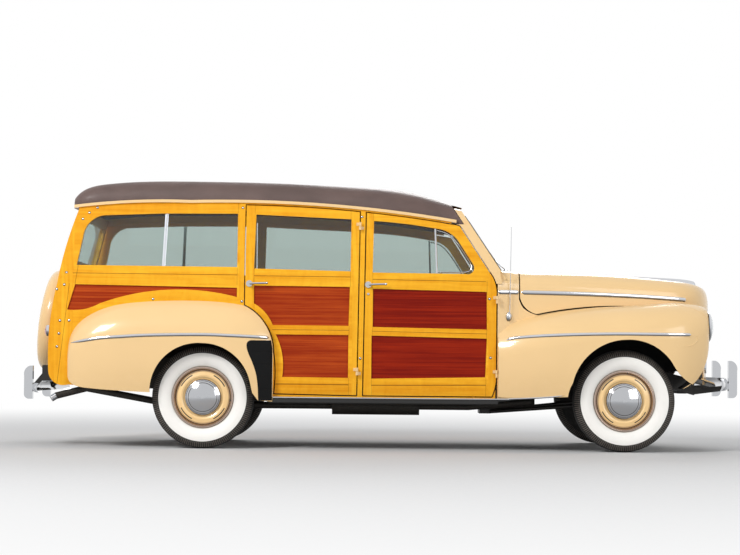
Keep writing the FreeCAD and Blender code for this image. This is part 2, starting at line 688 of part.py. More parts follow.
FENDER_NOSE_DX = 593
FRONT_FENDER_ROWS = [
    # x from the front axle, y_in, z_in, y_out, z_mid, y_low, z_low
    (-868, 752, 842, 838, 640, 822, 372), (-600, 715, 938, 905, 700, 880, 370),
    (-300, 665, 984, 928, 752, 905, 382), (0, 615, 996, 931, 770, 908, 400),
    (250, 558, 998, 915, 780, 890, 420), (430, 500, 992, 868, 795, 840, 450),
    (530, 470, 980, 808, 812, 782, 545), (575, 470, 970, 768, 825, 750, 650),
    (FENDER_NOSE_DX, 478, 948, 728, 845, 716, 745),
]
FENDER_END_X = 482
VALANCE_DX = 400
REAR_FENDER_ROWS = [
    (-928, 786, 668, 822, 596, 815, 520), (-905, 786, 790, 860, 640, 850, 448),
    (-780, 786, 916, 905, 700, 888, 409), (-450, 786, 1006, 928, 745, 905, 388),
    (-100, 786, 1020, 931, 752, 908, 372), (220, 786, 1000, 925, 742, 902, 350),
    (400, 786, 940, 892, 720, 880, 334), (FENDER_END_X, 786, 850, 852, 690, 845, 326),
]
FRONT_ARCH = [(-410, 300), (-396, 385), (-385, 430, -364, 475), (-200, 712, -6, 773), (200, 725, 331, 591),
              (400, 512, 520, 452), (600, 430), (600, 300)]
REAR_ARCH = [(-356, 280), (-354, 420), (-250, 634, 0, 723), (226, 637, 330, 454), (345, 386), (386, 332),
             (420, 318), (420, 280)]


def fender(rows, arch, x0, closed_x):
    """Right fender skin with its wheel arch, open inwards, and below as far forward as closed_x."""
    outer = Part.makeLoft([fender_section(x0 + r[0], *r[1:], 0) for r in rows], True, False)
    sections = []
    for n, (dx, *sizes) in enumerate(rows):
        closed = dx > closed_x or n == len(rows) - 1
        shift = -SHEET if closed else SHEET if n == 0 else 0
        drop = 1 if dx > closed_x else OPEN_SIDE
        sections.append(fender_section(x0 + dx + shift, *sizes, SHEET, drop))
    skin = outer.cut(Part.makeLoft(sections, True, False))
    placed = [tuple(v + x0 if i % 2 == 0 else v for i, v in enumerate(row)) for row in arch]
    return skin.cut(side_prism(placed, -1000, -760))


def largest(shape):
    """The main solid of a shape that a cut has split."""
    return max(shape.Solids, key=lambda s: s.Volume)


LAMP_Y = 640
LAMP_Z = 866
LAMP_R = 92


def front_fender():
    skin = fender(FRONT_FENDER_ROWS, FRONT_ARCH, FRONT_X, VALANCE_DX)
    skin = skin.cut(above_seam(-GAP).common(box(2000, 3800, -730, 0, 900, 1300)))
    skin = skin.cut(shell_loft(COWL_ROWS, 360, 0))
    skin = skin.cut(box(NOSE_BACK_X, FRONT_X + 700, -NOSE_Y - FIT, 0, 400, 1100))
    pin = FRONT_AXIS[0]
    skin = skin.cut(box(pin.x - 30, pin.x + HINGE_WEB * 2 + FIT, -900, -700, pin.z - HINGE_H,
                        pin.z + HINGE_H))
    lamp_axis = [V(FRONT_X + dx, -LAMP_Y, LAMP_Z) for dx in (450, 700)]
    skin = skin.cut(rod(*lamp_axis, LAMP_R + 4))
    return largest(skin.cut(park_lamp(1)))


def rear_fender():
    skin = fender(REAR_FENDER_ROWS, REAR_ARCH, 0, FENDER_END_X)
    skin = skin.cut(rear_door_hole(GAP)).cut(wall(0, 200))
    return largest(skin)


def park_lamp(grow):
    """Rounded lamp body let into the fender's top beside the nose."""
    g = grow
    body = box(FRONT_X + 545 - g, FRONT_X + 604 + g, -548 - g, -482 + g, 952 - min(g, FIT), 996 + g)
    edges = [e for e in body.Edges if e.BoundBox.ZMin > 990]
    return body.makeFillet(14, edges)


def lamps():
    """Headlamps, parking lamps and tail lamps."""
    x = FRONT_X + FENDER_NOSE_DX
    head = ring([(0, -110), (70, -60), (LAMP_R, 0), (LAMP_R + 14, 0.5), (LAMP_R + 14, 8), (LAMP_R, 18),
                 dome(LAMP_R, 18, 22)], V(x + FIT, -LAMP_Y, LAMP_Z), V(1, 0, 0))
    park = park_lamp(0)
    tail = ring([(0, 0), (38, 0), (38, 18), dome(38, 18, 14)], V(-1065.4, -745, 800), V(-1, 0, 0))
    return Part.makeCompound([head, mirrored(head), park, mirrored(park), tail, mirrored(tail)])


NOSE_Y = 470 - FIT
NOSE_MID_DX = 664
NOSE_END_DX = 596
NOSE_LOW_Z = 465
NOSE_TOP_Z = 985
NOSE_BACK_X = FRONT_X + 484
BROW_R = 45
APRON_Y = 640
APRON_MID_DX = 722
APRON_END_DX = 640
APRON_BACK_X = FRAME_END_X + GAP
GRILLE_Y = (28, 404)
GRILLE_Z = (545, 925)
GRILLE_CORNER = 40
GRILLE_FRAME = 14
BAR_PITCH = 29
BAR_W = 8
BAR_COUNT = 12


def nose_slab(front, back, z0, z1, half=NOSE_Y):
    """Upright slab bowed round the nose, between two offsets from its face."""
    mid, end = FRONT_X + NOSE_MID_DX, FRONT_X + NOSE_END_DX
    plan = [(end + front, -half), (mid + front, 0, end + front, half), (end + back, half),
            (mid + back, 0, end + back, -half)]
    return plan_prism(plan, z0, z1)


def nose_block(inset):
    """Nose with a rounded brow, solid from the grille's face back to the deck's end."""
    mid, end = FRONT_X + NOSE_MID_DX - inset, FRONT_X + NOSE_END_DX - inset
    back = NOSE_BACK_X - inset
    plan = [(back, -NOSE_Y), (end, -NOSE_Y), (mid, 0, end, NOSE_Y), (back, NOSE_Y)]
    block = plan_prism(plan, NOSE_LOW_Z - inset, NOSE_TOP_Z - inset)
    front = [e for e in block.Edges
             if e.BoundBox.ZMin > NOSE_TOP_Z - inset - 1 and e.BoundBox.XMin > end - 1]
    return block.makeFillet(BROW_R - inset, front)


def grille_window(side, shrink):
    """Upright block with rounded corners through one side of the nose."""
    y0, y1 = sorted((side * (GRILLE_Y[0] + shrink), side * (GRILLE_Y[1] - shrink)))
    low, high = GRILLE_Z[0] + shrink, GRILLE_Z[1] - shrink
    block = box(NOSE_BACK_X + SHEET * 2, FRONT_X + 800, y0, y1, low, high)
    edges = [e for e in block.Edges if abs(e.tangentAt(e.FirstParameter).x) > 0.9]
    return block.makeFillet(GRILLE_CORNER - shrink, edges)


def apron():
    """Sloping gravel apron behind the front bumper, under the nose."""
    back, front = APRON_BACK_X, FRONT_X + APRON_MID_DX
    rows = [(back, 505), (front, 447), (front, 447 + SHEET), (back, 505 + SHEET)]
    end = FRONT_X + APRON_END_DX
    plan = [(back, -APRON_Y), (end, -APRON_Y), (front, 0, end, APRON_Y), (back, APRON_Y)]
    return side_prism(rows, -APRON_Y, APRON_Y).common(plan_prism(plan, 400, 600))


def nose_panel():
    """Front panel with a rounded brow, two openings for the grille and the apron below."""
    panel = nose_block(0).cut(nose_block(SHEET))
    for side in (-1, 1):
        panel = panel.cut(grille_window(side, 0))
    return fuse([panel, apron()])


def grille():
    """Two sets of upright bars, each in its own frame, that fill the nose openings."""
    sets = []
    for side in (-1, 1):
        frame = nose_slab(6, -20, *GRILLE_Z).common(grille_window(side, FIT))
        solids = [frame.cut(grille_window(side, GRILLE_FRAME))]
        for n in range(BAR_COUNT):
            y = side * (GRILLE_Y[0] + BAR_PITCH * (n + 1))
            x = FRONT_X + NOSE_MID_DX - (NOSE_MID_DX - NOSE_END_DX) * (y / NOSE_Y) ** 2
            plan = [(x - 18, y - BAR_W / 2), (x + 2, y - BAR_W / 2), (x + 6, y, x + 2, y + BAR_W / 2),
                    (x - 18, y + BAR_W / 2)]
            bar = plan_prism(plan, GRILLE_Z[0] + 1, GRILLE_Z[1] - 1)
            solids.append(bar.common(grille_window(side, FIT)))
        sets.append(fuse(solids))
    return Part.makeCompound(sets)


def running_boards():
    board = box(FENDER_END_X + FIT, FRONT_DOOR_X + 12, -850, -SIDE_Y, 324, 358)
    return both(board)


BUMPER_HALF = 800
BUMPER_BOW = 14
BUMPER_T = 10
GUARD_W = 48
GUARD_DEPTH = 60
BRACKET_W = 30
FRONT_BAR_Z = (428, 512)
REAR_BAR_Z = (373, 437)
FRONT_GUARD_Y = 350
REAR_GUARD_Y = 415


def bumper_bar(x_mid, x_end, z0, z1):
    """Bar bowed in plan and across its height, turned about the bow's centre."""
    face = 1 if x_mid > x_end else -1
    sag = abs(x_mid - x_end)
    big = (BUMPER_HALF ** 2 + sag ** 2) / (2 * sag)
    swing = math.degrees(math.asin(BUMPER_HALF / big))
    bow, t, middle = BUMPER_BOW, BUMPER_T, (z0 + z1) / 2
    section = side_wire([(big - bow, z0), (big, middle, big - bow, z1), (big - bow - t, z1),
                         (big - t, middle, big - bow - t, z0)])
    bar = Part.Face(section).revolve(V(0, 0, 0), V(0, 0, 1), 2 * swing)
    bar.rotate(V(0, 0, 0), V(0, 0, 1), -swing if face > 0 else 180 - swing)
    bar.translate(V(x_mid - face * big, 0, 0))
    return bar


def guard(x_tip, face, y, z0, z1):
    """Upright guard with a rounded foot and a longer rounded head."""
    def x(back):
        return x_tip - face * back

    rows = [(x(GUARD_DEPTH), z0), (x(34), z0), (x(10), z0 + 10, x(0), z0 + 34), (x(0), z1 - 70),
            (x(8), z1 - 24, x(40), z1), (x(GUARD_DEPTH), z1)]
    return side_prism(rows, y - GUARD_W / 2, y + GUARD_W / 2)


def bumper(x_mid, x_end, x_tip, guard_y, guard_z, bar_z, arm, arm_y):
    """Bar with two guards and two bracket arms, drilled for the number plate."""
    face = 1 if x_mid > x_end else -1
    parts = [bumper_bar(x_mid, x_end, *bar_z)]
    for s in (-1, 1):
        parts.append(guard(x_tip, face, s * guard_y, *guard_z))
        parts.append(side_prism(arm, s * arm_y - BRACKET_W / 2, s * arm_y + BRACKET_W / 2))
    solid = fuse(parts)
    middle = (bar_z[0] + bar_z[1]) / 2
    for s in (-1, 1):
        y = s * PLATE_PITCH / 2
        solid = solid.cut(rod(V(x_mid - 60, y, middle), V(x_mid + 60, y, middle), PLATE_R))
    return solid


def front_bumper():
    bar_x = FRONT_X + 770
    arm = [(FRAME_END_X + FIT, 395), (bar_x, 425), (bar_x + 22, 440), (bar_x + 22, 480), (bar_x, 460),
           (FRAME_END_X + FIT, 440)]
    return bumper(FRONT_X + 810, FRONT_X + 680, FRONT_X + FRONT_OVERHANG, FRONT_GUARD_Y, (372, 635),
                  FRONT_BAR_Z, arm, RAIL_ROWS[-1][1])


def rear_bumper():
    arm = [(REAR_FRAME_X - FIT, 455), (REAR_FRAME_X - FIT, 505), (-1216, 425), (-1216, 385)]
    return bumper(-1262, -1150, -REAR_OVERHANG, REAR_GUARD_Y, (322, 555), REAR_BAR_Z, arm, RAIL_ROWS[0][1])


# Seats
def bench(x_front, x_back, half, z_floor, cushion_z, back_z, plinth_back=40, lean=70):
    """Bench seat: cushion, leaning back and a plinth to the floor."""
    cushion = box(x_back, x_front, -half, half, cushion_z - CUSHION_T, cushion_z)
    rows = [(x_back, cushion_z - 60), (x_back - lean, back_z), (x_back - lean + 100, back_z),
            (x_back + 120, cushion_z - 60)]
    back = side_prism(rows, -half, half)
    plinth = box(x_back + plinth_back, x_front - 60, -half + 60, half - 60, z_floor, cushion_z - CUSHION_T)
    return fuse([cushion, back, plinth])


def steering_centre():
    return V(1560, 390, 1080)


COLUMN = V(0.86, 0, -0.51)
STEER_SHAFT = 40
DASH_SHELF_Y = 560


def steering_wheel():
    """Rim, hub and three spokes, on a short shaft that enters the column."""
    centre = steering_centre()
    axis = V(COLUMN).negative()
    rim = Part.makeTorus(STEERING_WHEEL_R, 10, centre, axis)
    hub = rod(centre - V(COLUMN) * 14, centre + V(COLUMN) * STEER_SHAFT, 30)
    parts = [rim, hub]
    across = V(0, 1, 0)
    up = axis.cross(across)
    for deg in (0, 180, 270):
        a = math.radians(deg)
        end = centre + across * (STEERING_WHEEL_R * math.cos(a)) + up * (STEERING_WHEEL_R * math.sin(a))
        parts.append(rod(centre, end, 8))
    return fuse(parts)


def dashboard():
    """Dash panel with a rolled top, the column and its bracket."""
    half = SIDE_Y - WALL - 22
    rows = [(1880, 1020), (1860, 1150), (1880, 1196, 1930, 1205), (2030, 1205), (2030, 1190), (1925, 1150),
            (1925, 1020)]
    panel = side_prism(rows, -half, half)
    shelf = box(1990, 2080, -DASH_SHELF_Y, DASH_SHELF_Y, 1190, SCREEN_LOW_Z - FIT)
    centre = steering_centre()
    column = rod(centre + V(COLUMN) * (STEER_SHAFT + FIT), centre + V(COLUMN) * 560, 24)
    bracket = box(1850, 1925, 360, 420, 900, 1040)
    return fuse([panel, shelf, column, bracket])


# Gates: drawn upright with the outer face at x = 0, then leaned and carried to the hinge line
def place_gate(shape, low, high):
    lean = math.degrees(math.atan2(high[0] - low[0], high[1] - low[1]))
    turned = shape.copy()
    turned.rotate(V(0, 0, 0), V(0, 1, 0), lean)
    turned.translate(V(low[0], 0, low[1]))
    return turned


def gate_length(low, high):
    return math.hypot(high[0] - low[0], high[1] - low[1])


def gate_knuckles(x, z, moving, grow=0):
    """Knuckles of a gate's two hinges: the middle one moves, the outer ones are fixed."""
    near, far = (-GATE_KNUCKLE[0], GATE_KNUCKLE[0]) if moving else (GATE_KNUCKLE[0] + FIT, GATE_KNUCKLE[1])
    solids = []
    for y in (-GATE_HINGE_Y, GATE_HINGE_Y):
        for turn in ((1,) if moving else (-1, 1)):
            a, b = sorted((y + turn * (near - grow / 2), y + turn * (far + grow)))
            solids.append(rod(V(x, a, z), V(x, b, z), GATE_PIN_R + grow))
    return solids


def gate_leaves(rows):
    """Leaves that carry the fixed knuckles."""
    solids = []
    for y in (-GATE_HINGE_Y, GATE_HINGE_Y):
        for turn in (-1, 1):
            a, b = sorted((y + turn * (GATE_KNUCKLE[0] + FIT), y + turn * GATE_KNUCKLE[1]))
            solids.append(side_prism(rows, a, b))
    return solids


def lift_axis_x():
    """Where the liftgate's outer face is at its hinge."""
    share = (LIFT_AXIS_Z - TAILGATE_HIGH[1]) / (LIFTGATE_HIGH[1] - TAILGATE_HIGH[1])
    return TAILGATE_HIGH[0] + share * (LIFTGATE_HIGH[0] - TAILGATE_HIGH[0])


def tailgate():
    tall = gate_length(TAILGATE_LOW, TAILGATE_HIGH) - GAP
    slab = box(0, GATE_T, -GATE_Y, GATE_Y, 0, tall)
    leaves = []
    edges = [-GATE_Y, -230, 230, GATE_Y]
    for a, b in zip(edges, edges[1:]):
        slab = slab.cut(box(-5, GATE_T + 5, a + 45, b - 45, 85, tall - 85))
        leaves.append(box(PANEL_DEPTH, PANEL_DEPTH + PANEL_T, a + 37, b - 37, 77, tall - 77))
    mount = rod(V(PANEL_DEPTH, 0, SPARE_S), V(-SPARE_GAP + FIT, 0, SPARE_S), 60)
    gate = place_gate(fuse([slab, mount] + leaves), TAILGATE_LOW, TAILGATE_HIGH)
    for room in gate_knuckles(*TAILGATE_LOW, False, 2):
        gate = gate.cut(room)
    return fuse([gate] + gate_knuckles(*TAILGATE_LOW, True))


def spare_wheel():
    """Spare in its domed metal cover, bolted to the tailgate."""
    r = SPARE_R
    rows = [(0, SPARE_GAP), (r - 12, SPARE_GAP), (r, SPARE_GAP + 60), (r, SPARE_GAP + 66),
            (r - 14, SPARE_DEPTH - 62, r - 62, SPARE_DEPTH - 32), dome(r - 62, SPARE_DEPTH - 32, 32)]
    cover = ring(rows, V(0, 0, SPARE_S), V(-1, 0, 0))
    return place_gate(cover, TAILGATE_LOW, TAILGATE_HIGH)


LIFT_FRAME = 70


def liftgate_tall():
    return gate_length(TAILGATE_HIGH, LIFTGATE_HIGH)


def liftgate():
    tall = liftgate_tall()
    slab = box(0, GATE_T, -GATE_Y + 40, GATE_Y - 40, 0, tall)
    slab = slab.cut(box(-5, GATE_T + 5, -GATE_Y + 40 + LIFT_FRAME, GATE_Y - 40 - LIFT_FRAME, 70, tall - 70))
    gate = place_gate(slab, TAILGATE_HIGH, LIFTGATE_HIGH)
    for room in gate_knuckles(lift_axis_x(), LIFT_AXIS_Z, False, 2):
        gate = gate.cut(room)
    return fuse([gate] + gate_knuckles(lift_axis_x(), LIFT_AXIS_Z, True))


def liftgate_glass():
    tall = liftgate_tall()
    half = GATE_Y - 40 - LIFT_FRAME - FIT
    pane = box(GLASS_DEPTH, GLASS_DEPTH + GLASS_T, -half, half, 70 + FIT, tall - 70 - FIT)
    return place_gate(pane, TAILGATE_HIGH, LIFTGATE_HIGH)


def main():
    os.makedirs("parts", exist_ok=True)

    export("chassis_frame", chassis_frame())
    export("front_axle", front_axle())
    export("rear_axle", rear_axle())
    export("exhaust", exhaust())
    export("fuel_tank", fuel_tank())
    export("engine_block", engine_block())
    export("floor_pan", floor_pan())

    cowl_solid = cowl()
    export("cowl", cowl_solid)
    export("fixed_glass", fixed_glass())
    export("dashboard", dashboard())
    export("roof", roof(cowl_solid))
    export("body_sides", both(body_side()))
    export("front_fenders", both(front_fender()))
    export("rear_fenders", both(rear_fender()))
    export("nose_panel", nose_panel())
    export("grille", grille())
    export("lamps", lamps())
    export("running_boards", running_boards())
    export("front_bumper", front_bumper())
    export("rear_bumper", rear_bumper())
    export("front_seat", bench(1560, 1090, 690, FLOOR_Z, 800, 1180))
    export("middle_seat", bench(720, 250, SEAT_Y, FLOOR_Z, LOAD_FLOOR_Z + CUSHION_T, 1200, KICK_X - 230))
    export("rear_seat", bench(-60, -480, SEAT_Y, LOAD_FLOOR_Z, 990, 1280))

    export("hood", hood())
    export("tailgate", tailgate())
    export("spare_wheel", spare_wheel())
    export("liftgate", liftgate())
    export("liftgate_glass", liftgate_glass())
    export("steering_wheel", steering_wheel())

    doors = (
        ("rear", REAR_DOOR_HOLES, rear_door_hole(0), REAR_AXIS, REAR_DOOR_X + 28),
        ("front", FRONT_DOOR_HOLES, front_door_hole(0), FRONT_AXIS, PILLAR_X + PILLAR_W + 28),
    )
    for name, holes, region, axis, handle_x in doors:
        fittings = [hinge_half(pin, axis, True, HINGE_LEAF) for pin in axis]
        solid = fuse([door(holes, region), handle(handle_x, HANDLE_Z)] + fittings)
        glass = wall(GLASS_DEPTH, GLASS_T).common(side_prism(holes[0], -900, -600, -FIT))
        for side, turned in (("right", False), ("left", True)):
            export(name + "_door_" + side, mirrored(solid) if turned else solid)
            export(name + "_door_glass_" + side, mirrored(glass) if turned else glass)

    knuckle_solid = knuckle()
    for side, s in (("right", -1), ("left", 1)):
        export("knuckle_" + side, mirrored(knuckle_solid) if s > 0 else knuckle_solid)
        for end, x in (("front", FRONT_X), ("rear", 0)):
            export("tyre_" + end + "_" + side, tyre(x, s * HALF_TRACK))
            export("wheel_" + end + "_" + side, wheel(x, s))


main()
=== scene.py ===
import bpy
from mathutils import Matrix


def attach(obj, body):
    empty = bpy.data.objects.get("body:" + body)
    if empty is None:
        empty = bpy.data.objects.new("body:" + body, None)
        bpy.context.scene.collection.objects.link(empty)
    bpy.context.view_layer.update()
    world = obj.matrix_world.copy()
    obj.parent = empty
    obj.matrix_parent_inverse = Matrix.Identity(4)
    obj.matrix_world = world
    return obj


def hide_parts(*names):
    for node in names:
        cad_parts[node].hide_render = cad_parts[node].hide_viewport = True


bl_info = {
    "name": "Wooden-bodied station wagon",
    "version": (1, 0, 0),
    "blender": (4, 5, 0),
    "location": "View3D > Sidebar > Wagon",
    "description": "Finishes, bright trim, tyres, upholstery and stage for a wooden-bodied station wagon",
    "category": "Object",
}

import math

import bmesh
import bpy
from mathutils import Matrix, Vector
from mathutils.bvhtree import BVHTree

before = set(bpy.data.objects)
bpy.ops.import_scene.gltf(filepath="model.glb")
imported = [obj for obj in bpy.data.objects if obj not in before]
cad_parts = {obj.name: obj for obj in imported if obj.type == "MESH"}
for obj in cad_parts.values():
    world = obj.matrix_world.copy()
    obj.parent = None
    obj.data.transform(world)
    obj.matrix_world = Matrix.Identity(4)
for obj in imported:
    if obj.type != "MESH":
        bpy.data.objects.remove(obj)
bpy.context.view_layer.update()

# Station sizes in millimetres: x runs forward from the rear axle, z up from the ground
MID_X = 1229
WHEELBASE = 2896
HALF_TRACK = 736
TYRE_R = 352
SIDE_Y = 795
BEND_Z = 1180
LEAN = (SIDE_Y - 745) / (1690 - BEND_Z)
SIDES = ((-1, "right"), (1, "left"))

# The windscreen's glass on the middle line, its lean and its sweep to the sides
SCREEN_FOOT_X, SCREEN_FOOT_Z = 2108, 1250
SCREEN_LEAN, SCREEN_SWEEP = 276 / 410, 72 / 795

# Where the front fenders' crowns start, and their outer edge
CROWN_X, CROWN_OUTER = 2900, 742

# Radii of the wheels' hub cap, bright ring and white sidewall, in metres
CAP_R = 0.1212
RING_R = (0.1835, 0.2115)
WHITE_R = (0.2118, 0.3032)


def at(x, y, z):
    """A point given in station millimetres, in the frame's metres."""
    return Vector(((x - MID_X) / 1000, y / 1000, z / 1000))


def wall_y(z):
    """How far out the wooden wall's face is at height z, in millimetres."""
    return SIDE_Y - LEAN * max(0, z - BEND_Z)


def linear(code):
    """A colour of six hexadecimal digits, in the shader's linear values."""
    parts = [int(code[i:i + 2], 16) / 255 for i in (0, 2, 4)]
    return tuple(v / 12.92 if v <= 0.04045 else ((v + 0.055) / 1.055) ** 2.4 for v in parts)


# Shader trees
class Value:
    """A socket of a shader tree; arithmetic on it adds Math nodes."""

    def __init__(self, finish, socket):
        self.finish, self.socket = finish, socket

    def run(self, operation, *numbers):
        return self.finish.node("ShaderNodeMath", {"operation": operation}, dict(enumerate(numbers)))

    def other(self, name):
        """Another output of the same node."""
        return Value(self.finish, self.socket.node.outputs[name])

    def __add__(self, number):
        return self.run("ADD", self, number)

    def __sub__(self, number):
        return self.run("SUBTRACT", self, number)

    def __rsub__(self, number):
        return self.run("SUBTRACT", number, self)

    def __mul__(self, number):
        return self.run("MULTIPLY", self, number)

    def __truediv__(self, number):
        return self.run("DIVIDE", self, number)

    def __pow__(self, number):
        return self.run("POWER", self, number)

    def __abs__(self):
        return self.run("ABSOLUTE", self)

    def sine(self):
        return self.run("SINE", self)

    def fold(self, half):
        return self.run("PINGPONG", self, half)

    __radd__ = __add__
    __rmul__ = __mul__


class Finish:
    """The shader tree of a new material, given its name, or of the world."""

    def __init__(self, owner, output="ShaderNodeOutputMaterial"):
        self.owner = bpy.data.materials.new(owner) if isinstance(owner, str) else owner
        self.owner.use_nodes = True
        self.tree = self.owner.node_tree
        self.tree.nodes.clear()
        self.output = self.tree.nodes.new(output)

    def node(self, kind, settings=None, inputs=None, out=0):
        made = self.tree.nodes.new(kind)
        for name, value in (settings or {}).items():
            if name == "stops":
                ramp = made.color_ramp
                ramp.interpolation = settings.get("steps", "LINEAR")
                ramp.elements[0].position, ramp.elements[-1].position = value[0][0], value[-1][0]
                for place, colour in value[1:-1]:
                    ramp.elements.new(place)
                for element, (place, colour) in zip(ramp.elements, value):
                    element.color = (*colour, 1)
            elif name != "steps":
                setattr(made, name, value)
        for name, value in (inputs or {}).items():
            socket = made.inputs[name]
            if isinstance(value, Value):
                self.tree.links.new(value.socket, socket)
            elif socket.type == "RGBA":
                socket.default_value = (*value[:3], 1)
            else:
                socket.default_value = value
        return Value(self, made.outputs[out])

    def place(self):
        """The surface's own coordinates: the vector and its three numbers, in metres."""
        point = self.node("ShaderNodeTexCoord", out="Object")
        split = self.node("ShaderNodeSeparateXYZ", inputs={0: point})
        return point, split, split.other("Y"), split.other("Z")

    def vector(self, x, y, z):
        return self.node("ShaderNodeCombineXYZ", inputs={0: x, 1: y, 2: z})

    def noise(self, vector, scale, detail=2.0, rough=0.5, swirl=0.0):
        return self.node("ShaderNodeTexNoise", inputs={
            "Vector": vector, "Scale": scale, "Detail": detail, "Roughness": rough, "Distortion": swirl})

    def stretched(self, vector, scale):
        return self.node("ShaderNodeMapping", inputs={"Vector": vector, "Scale": scale})

    def ramp(self, value, stops):
        return self.node("ShaderNodeValToRGB", {"stops": stops}, {0: value})

    def mixed(self, share, a, b):
        return self.node("ShaderNodeMix", {"data_type": "RGBA"}, {0: share, 6: a, 7: b}, out=2)

    def smooth(self, value, low, high):
        return self.node("ShaderNodeMapRange", {"interpolation_type": "SMOOTHSTEP"},
                         {0: value, 1: low, 2: high})

    def band(self, value, low, high, soft):
        """1 between low and high, falling to 0 over soft at each end."""
        return self.smooth(value, low - soft, low + soft) * (1 - self.smooth(value, high - soft, high + soft))

    def line(self, value, width):
        """1 where value is nought, falling to 0 at width."""
        return 1 - self.smooth(abs(value), width * 0.35, width)

    def bump(self, height, distance, strength=1.0):
        return self.node("ShaderNodeBump", inputs={
            "Strength": strength, "Distance": distance, "Height": height})

    def wheel_place(self):
        """Radius and angle about the nearest wheel's axle, and how far out from its plane."""
        point, x, y, z = self.place()
        mid = (WHEELBASE / 2 - MID_X) / 1000
        along = abs(x - mid) - WHEELBASE / 2000
        up = z - TYRE_R / 1000
        radius = (along * along + up * up) ** 0.5
        return point, radius, up.run("ARCTAN2", up, along), abs(y) - HALF_TRACK / 1000

    def cells(self, vector, scale):
        """Distance to the edges of small cells, for a leathery grain."""
        return self.node("ShaderNodeTexVoronoi", {"feature": "DISTANCE_TO_EDGE"},
                         {"Vector": vector, "Scale": scale})

    def principled(self, inputs):
        return self.node("ShaderNodeBsdfPrincipled", inputs=inputs)

    def plain(self, kind, colour, **more):
        """A shader node of one colour."""
        return self.node(kind, inputs={"Color": colour, **more})

    def close(self, shader):
        """Ends the tree in a shader."""
        self.tree.links.new(shader.socket, self.output.inputs["Surface"])
        return self.owner

    def close_between(self, share, first, second):
        """Ends the tree in two shaders, the second by share."""
        return self.close(self.node("ShaderNodeMixShader", inputs={0: share, 1: first, 2: second}))

    def surface(self, tone, rough, relief, more=None):
        """Ends the tree in a Principled shader; relief is a bump's height, distance and strength."""
        return self.close(self.principled({
            "Base Color": tone, "Roughness": rough, "Normal": self.bump(*relief), **(more or {})}))


def shade(colour, factor):
    return tuple(min(1, v * factor) for v in colour)


def between(light, dark):
    return tuple((a + b) / 2 for a, b in zip(light, dark))


def paint_finish(name, colour, rough=0.24, coat=0.45):
    """Gloss enamel: a faint drift of tone, road dust low down, orange peel."""
    f = Finish(name)
    point, _, _, z = f.place()
    tone = f.mixed(f.noise(point, 1.7, 3), shade(colour, 0.93), shade(colour, 1.05))
    dust = (1 - f.smooth(z, 0.33, 0.62)) * f.noise(point, 9, 4) * 0.35
    tone = f.mixed(dust, tone, shade(colour, 0.66))
    peel = f.noise(point, 650, 2)
    return f.surface(tone, peel * 0.06 + (rough - 0.03) + dust * 0.4, (peel, 0.0002, 0.12),
                     {"Coat Weight": coat, "Coat Roughness": 0.05, "Specular IOR Level": 0.3})


def maple_finish(name, light, dark, stiles=(), joints=(), grooves=(), slants=()):
    """Varnished maple: grain runs up the stiles and along the rails, with dark joint lines, and grooves
    darkened as painted shade.

    stiles: x ranges with upright grain. joints: (x, z low, z high). grooves: (x0, z0, x1, z1, half width).
    slants: (x, z, dx per dz, z low, z high). All in station millimetres.
    """
    f = Finish(name)
    x, y, z = f.place()[1:]
    sx = x * 1000 + MID_X
    sz = z * 1000
    flat = x + y
    along, across = flat, z
    if stiles:
        stops = [(0, (0, 0, 0))]
        for low, high in stiles:
            stops += [((low + 1400) / 4000, (1, 1, 1)), ((high + 1400) / 4000, (0, 0, 0))]
        upright = f.node("ShaderNodeValToRGB", {"steps": "CONSTANT", "stops": stops}, {0: (sx + 1400) / 4000})
        along = flat + (z + 3 - flat) * upright
        across = z + (flat - z) * upright
    board = f.noise(f.vector(across * 9, along * 0.25, y), 1, 1)
    figure = f.noise(f.vector(along * 1.6, across * 34, y * 6), 1, 4, 0.6, 0.6)
    pores = f.noise(f.vector(along * 14, across * 520, y * 90), 1, 3, 0.7)
    flame = f.noise(f.vector(along * 16, across * 7, y * 5), 1, 2, 0.5, 1.2)
    tone = f.ramp(figure * 0.5 + board * 0.4 + flame * 0.18 - 0.03,
                  [(0.32, dark), (0.5, between(light, dark)), (0.66, light)])
    tone = f.mixed(f.smooth(pores, 0.6, 0.78) * 0.28, tone, shade(dark, 0.62))
    marks = [f.line(sz - z0 - (sx - x0) * ((z1 - z0) / (x1 - x0)), wide) * f.band(sx, x0, x1, 0.5)
             for x0, z0, x1, z1, wide in grooves]
    marks += [f.line(sx - x0, 1.6) * f.band(sz, low, high, 0.5) * 0.8 for x0, low, high in joints]
    marks += [f.line(sx - x0 - (sz - z0) * lean, 2.2) * f.band(sz, low, high, 1)
              for x0, z0, lean, low, high in slants]
    height = pores * 0.12 + figure * 0.1
    if marks:
        cut = sum(marks[1:], marks[0])
        # The joint and slanted lines are dark joints; the grooves are darkened as painted shade in their
        # recess.
        tone = f.mixed(cut * 0.62, tone, linear("4A2206"))
        height = height - cut * 1.6
    return f.surface(tone, 0.36 + pores * 0.12, (height, 0.0012, 0.7),
                     {"Coat Weight": 0.1, "Coat Roughness": 0.1, "Specular IOR Level": 0.1})


